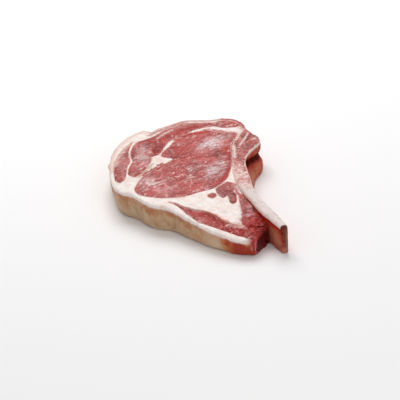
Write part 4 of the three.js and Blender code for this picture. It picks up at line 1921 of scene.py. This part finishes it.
        # Painted shade: the hollow under the sawn end is darkened, and a red halo of painted shade lies round
        # it
        hollow = at.dent / self.hollow
        blood = hollow + self.hollow_shade_fray.at(points) * (at.dent > 0.0)
        return {
            Mark.EDGE: np.where(at.on_wall, 0.0, at.from_edge),
            Mark.STAIN_AND_SHADE: np.maximum(stained, self.hollow_shade_halo * np.sqrt(hollow)),
            Mark.PALE: painted(self.pale, at.flat, self.pale_fray) * at.on_top,
            Mark.ALONG: np.broadcast_to(at.run / self.streak_length, at.share.shape),
            Mark.ACROSS: (at.share * at.width + at.height) / self.streak_width,
            Mark.FLANK: np.where(at.on_foot, 1.0 - smooth(at.from_edge, *self.foot_span), at.on_wall * flank),
            Mark.BLOOD_AND_SHADE: smooth(blood, *self.hollow_shade_span),
            Mark.FRESH: painted(self.fresh, at.flat) * at.on_top,
            Mark.BLUSH: painted(self.speckled, at.flat) * at.on_top,
            Mark.TAN: paled,
        }

    def surface(self) -> Surface:
        """Works out the closed surface: the sections, then the rings of the free end with marks of their own.

        Returns:
            The surface with its marks.
        """
        at = self.sections()
        wander = at.flat[..., 1] + self.wander.at(at.flat)
        sawn, neck = (smooth(wander, *span) * at.on_top for span in (self.sawn_span, self.neck_span))
        points = self.roughened(at, neck)
        marks = self.marks(at, points) | {Mark.SAWN: sawn, Mark.NECK: neck}
        ends = closed_end(points, self.end_rows, self.end_swell)
        tip = {mark: np.zeros(ends.shape[:2]) for mark in marks}
        tip[Mark.ALONG], tip[Mark.ACROSS] = ends[..., 2] / self.streak_width, ends[..., 0] / self.streak_width
        grown = {mark: np.concatenate([value, tip[mark]]) for mark, value in marks.items()}
        rings = np.concatenate([points, ends])
        on_end = np.concatenate([np.zeros(points.shape[:2]), np.ones(ends.shape[:2])])
        added = {
            Mark.FLANK: on_end,
            Mark.TAN: painted(self.pale_tip, rings[..., 1:]),
            Mark.BLUSH: self.tip_grey * on_end * smooth(rings[..., 0], *self.tip_grey_span),
            Mark.BLOOD_AND_SHADE: painted(self.dark_tip, rings[..., 1:]) * on_end,
        }
        for mark, value in added.items():
            grown[mark] = np.maximum(grown[mark], value)
        grown[Mark.END] = on_end
        return Surface.of_grid(rings, grown, wraps=True)


def muscles() -> list[Muscle]:
    """Lists the muscles with their painted marks.

    Returns:
        The muscles, from the largest on.
    """
    eye = Muscle(
        "eye_of_rib", "eye_muscle", EYE, 230, 150,
        {
            Mark.BLOOD_AND_SHADE: (
                Stroke(
                    ((-34.6, 44), (-26, 39), (-17.5, 38.7), (-9.9, 43.7), (-4.4, 49), (1, 50.6)), 1.1, 0.55
                ),
            ),
            Mark.FRESH: (
                Stroke(((-6, 91.5), (4.6, 95.5), (13, 99), (19, 101)), 3.4, 1.0),
                Stroke(((1, 96.4), (4, 97.2), (8, 97.9), (12.4, 98.9), (16, 100)), 2.8, 2.0),
                Stroke(((39, 52), (38.5, 30), (38, 12), (34, -10), (25, -26)), 5.0, 0.75),
                Patch((-8, 58), (17, 13), 40.0, 0.45),
                Stroke(((-53, -2), (-44, 8), (-34, 20), (-27, 27)), 2.2, 0.85),
            ),
            Mark.PALE: (Patch((-3, -12), (5, 1.6), 15.0, 0.9), Patch((39.5, 47), (2.0, 3.0), 0.0, 0.9)),
            Mark.PLAIN: (Patch((-2, 54), (22, 20), 40.0, 0.9),),
            # Wet patches: lower roughness, with painted glints
            Mark.GLOSS_AND_GLINT: (
                Patch((22, 68), (22, 12), 48.0, 1.0),
                Patch((24, 4), (9, 20), -25.0, 1.0),
                Patch((-42, -20), (26, 14), -52.0, 0.4),
                Patch((4, 15), (16, 7), 60.0, 0.25),
            ),
            Mark.MARBLE: (Patch((-44, -20), (26, 15), -52.0, 1.0), Patch((-10, -2), (30, 10), 30.0, 0.6)),
        },
    )
    cap = Muscle(
        "cap_of_rib", "cap_muscle", CAP, 240, 64,
        {
            Mark.BLOOD_AND_SHADE: (
                Patch((-37.5, 62), (15, 4.0), 72.0, 0.4),
                Stroke(((-64.3, 46), (-63.5, 58), (-60.5, 68), (-57, 75)), 1.4, 0.5),
            ),
            Mark.FRESH: (
                Stroke(((-60, 1), (-54, 10), (-49.7, 20)), 2.4, 0.9),
                Patch((-37, 63), (17, 5.5), 72.0, 0.85),
                Stroke(((-58, 82), (-48, 89), (-40, 94)), 2.2, 0.6),
                Patch((-18, 110), (26, 7), 35.0, 0.4),
                Stroke(((-52, 84), (-40, 83), (-28, 92), (-12, 106), (6, 114)), 4.0, 0.85),
            ),
            Mark.PALE: (
                Stroke(((-37.5, 90), (-28.5, 101.6), (-20.6, 110.8)), 1.3, 0.9),
                Stroke(((-20, 117), (-5.8, 123), (11, 123.5), (30, 122)), 1.2, 0.7),
                Stroke(((-38.6, 94), (-36.5, 79.5)), 0.8, 0.6),
            ),
            # Wet patches: lower roughness, with painted glints
            Mark.GLOSS_AND_GLINT: (Patch((-54, 45), (9, 32), 0.0, 0.38), Patch((-22, 108), (16, 4), 40.0, 0.3)),
            Mark.MARBLE: (Patch((-54, 40), (12, 36), 0.0, 0.8), Patch((40, 116), (16, 8), 0.0, 0.7)),
        },
    )
    outer = Muscle(
        "outer_of_rib", "outer_muscle", OUTER, 150, 36,
        {
            Mark.FRESH: (Patch((-72.5, 17), (3.5, 3), 0.0, 0.7), Patch((-77, 20), (8, 40), 5.0, 0.3)),
            Mark.PALE: (Stroke(((-84, 30), (-83, 42), (-80, 54), (-75, 68), (-66, 86)), 4.0, 0.8),),
            # Wet patch: lower roughness, with painted glints
            Mark.GLOSS_AND_GLINT: (Patch((-76, 30), (9, 42), 8.0, 0.2),),
            Mark.MARBLE: (Patch((-74, 55), (9, 22), 20.0, 0.8),),
        },
    )
    wet = Patch((59, -103), (21, 15), -25.0, 0.9)
    torn = Patch((58, -103), (26, 20), -25.0, 0.9)
    strip = FlankMuscle(
        "flank_strip", "flank_muscle", STRIP, 170, 46,
        {
            Mark.BLOOD_AND_SHADE: (
                # Painted shadow under the fat's lip, then dark blood and painted shade on the recessed torn end
                Stroke(((8, -82.5), (18, -89), (25, -97.5), (31, -102)), 1.6, 0.5),
                Patch((66, -116), (12, 6), -60.0, 0.5),
            ),
            Mark.FRESH: (wet, Stroke(((0, -82), (15, -94), (30, -106), (45, -113)), 9.0, 0.8)),
            Mark.PLAIN: (torn,),
            Mark.PALE: (
                Stroke(((29, -104), (37.6, -106), (46, -108)), 1.5, 1.0),
                Stroke(((31, -108.5), (40, -110.5), (48, -112.5)), 1.1, 0.7),
                Stroke(((30, -100), (38, -102.5), (46, -104)), 1.4, 1.0),
            ),
        },
    )
    between = FlankMuscle(
        "between_ribs", "flank_muscle", BETWEEN_RIBS, 110, 40,
        {
            Mark.BLOOD_AND_SHADE: (
                # Dark spots and dark blood, partly painted shade under the rib's edge and at the end
                Patch((66, -106), (10, 6), 0.0, 0.4),
                Patch((51, -62), (3, 6), 20.0, 0.5),
                Patch((58, -78), (2.5, 6), 20.0, 0.5),
                Patch((49, -82), (2.5, 4), 0.0, 0.4),
                Patch((59, -91), (4, 2.5), -20.0, 0.5),
            ),
            Mark.FRESH: (wet,),
            # Wet patches: lower roughness, with painted glints
            Mark.GLOSS_AND_GLINT: (Patch((54, -74), (3.5, 7), 15.0, 0.35), Patch((53, -87), (5, 4), 0.0, 0.4)),
            Mark.MARBLE: (Patch((53, -72), (9, 24), 10.0, 0.7),),
        },
        sunk=0.3, ragged=1.0,
    )
    dusky = Patch((33, -42), (15, 18), 0.0, 0.3)
    upper = Muscle("rib_lobe_upper", "rib_lobes", LOBE_UPPER, 60, 34, {Mark.BLOOD_AND_SHADE: (dusky,)}, lump=0.45)
    lower = Muscle(
        "rib_lobe_lower", "rib_lobes", LOBE_LOWER, 60, 22,
        {Mark.BLOOD_AND_SHADE: (dusky, Patch((40.5, -47), (2.2, 2.2), 0.0, 0.9), Patch((38, -63), (3.5, 2), 0.0, 0.6))},
        lump=0.45,
    )
    small = Muscle("small_of_rib", "small_muscle", SMALL, 30, 22, crown=0.5, crown_reach=3.0)
    return [eye, cap, outer, strip, between, upper, lower, small]


def placed(
    name: str, data: bpy.types.Light | bpy.types.Camera, axes: Sequence[Array], place: Sequence[float]
) -> bpy.types.Object:
    """Puts a lamp or the camera into the scene.

    Args:
        name: Its name.
        data: The lamp or camera.
        axes: Unit steps along its own +X, +Y and +Z.
        place: Where it is, in metres.

    Returns:
        The object.
    """
    thing = bpy.data.objects.new(name, data)
    bpy.context.scene.collection.objects.link(thing)
    turned = np.eye(4)
    turned[:3, :3] = np.column_stack(axes)
    turned[:3, 3] = place
    thing.matrix_world = Matrix(turned.tolist())
    return thing


@dataclass(frozen=True)
class Lamp:
    """A soft square lamp that faces the steak: its place and side in metres, its power in watts."""

    name: str
    place: tuple[float, float, float]
    size: float
    power: float

    def hang(self) -> bpy.types.Object:
        """Hangs the lamp, turned towards the origin.

        Returns:
            The lamp.
        """
        light = bpy.data.lights.new(self.name, "AREA")
        light.shape = "SQUARE"
        light.size = self.size
        light.energy = self.power
        back = np.array(self.place) / np.linalg.norm(self.place)
        side = np.cross((0.0, 1.0, 0.0), back)
        side /= np.linalg.norm(side)
        return placed(self.name, light, [side, np.cross(back, side), back], self.place)


@dataclass(frozen=True)
class Studio:
    """Plain pale floor, soft light and the camera."""

    # Floor: its side and its gap under the steak, in metres
    floor_size: float = 8.0
    floor_gap: float = 0.0002
    floor_colour: str = "#fbfafa"
    floor_roughness: float = 0.9
    # Lamps, and the strength of the even light from all round
    lamps: tuple[Lamp, ...] = (
        Lamp("key", (-0.15, 0.95, 1.45), 1.2, 21.0),
        Lamp("fill", (0.5, -1.2, 1.0), 1.2, 5.0),
    )
    sky: float = 0.4
    # Camera: place in metres, degrees that it looks down and is rolled, sensor and lens in millimetres
    camera_place: tuple[float, float, float] = (0.00564, -1.46789, 0.75817)
    elevation: float = 27.36
    roll: float = 4.03
    sensor_width: float = 36.0
    lens: float = 140.544

    def floor(self) -> bpy.types.Object:
        """Lays the floor just under the steak: a flat grid of one cell.

        Returns:
            The floor.
        """
        half = 0.5 * self.floor_size
        corners = [(x * half, y * half, -self.floor_gap) for x, y in ((-1, -1), (1, -1), (1, 1), (-1, 1))]
        mesh = bpy.data.meshes.new("floor")
        mesh.from_pydata(corners, [], [(0, 1, 2, 3)])
        floor = bpy.data.objects.new("floor", mesh)
        bpy.context.scene.collection.objects.link(floor)
        material = bpy.data.materials.new("pale_matt_floor")
        material.use_nodes = True
        shader = material.node_tree.nodes["Principled BSDF"]
        shader.inputs["Base Color"].default_value = linear(self.floor_colour)
        shader.inputs["Roughness"].default_value = self.floor_roughness
        mesh.materials.append(material)
        return floor

    def world(self) -> None:
        """Lights the scene evenly from all round."""
        world = bpy.data.worlds.new("studio")
        bpy.context.scene.world = world
        world.use_nodes = True
        background = world.node_tree.nodes["Background"]
        background.inputs["Color"].default_value = (1.0, 1.0, 1.0, 1.0)
        background.inputs["Strength"].default_value = self.sky

    def camera(self) -> bpy.types.Object:
        """Places the camera at the viewing angle.

        Returns:
            The camera.
        """
        eye = bpy.data.cameras.new("camera")
        eye.sensor_fit = "HORIZONTAL"
        eye.sensor_width = self.sensor_width
        eye.lens = self.lens
        tilt, roll = math.radians(self.elevation), math.radians(self.roll)
        forward = np.array([0.0, math.cos(tilt), -math.sin(tilt)])
        level = np.array([1.0, 0.0, 0.0])
        down = np.cross(forward, level)
        right = math.cos(roll) * level + math.sin(roll) * down
        below = math.cos(roll) * down - math.sin(roll) * level
        camera = placed("camera", eye, [right, -below, -forward], self.camera_place)
        bpy.context.scene.camera = camera
        return camera

    def build(self) -> None:
        """Sets up floor, lights and camera, and shows colours as they are."""
        self.floor()
        self.world()
        for lamp in self.lamps:
            lamp.hang()
        self.camera()
        bpy.context.scene.view_settings.view_transform = "Standard"


def main() -> None:
    """Builds the steak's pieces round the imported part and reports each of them."""
    logging.basicConfig(level=logging.INFO, format="%(name)s: %(message)s")
    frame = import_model()
    LOG.info("nodes: %s", ", ".join(sorted(frame["nodes"])))
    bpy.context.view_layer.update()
    muscle = RawMuscle().material()
    for part in muscles():
        part.build(muscle)
    FatBody().build(BeefFat().material())
    Rib().build(RibBone().material())
    Studio().build()


if __name__ == "__main__":
    main()
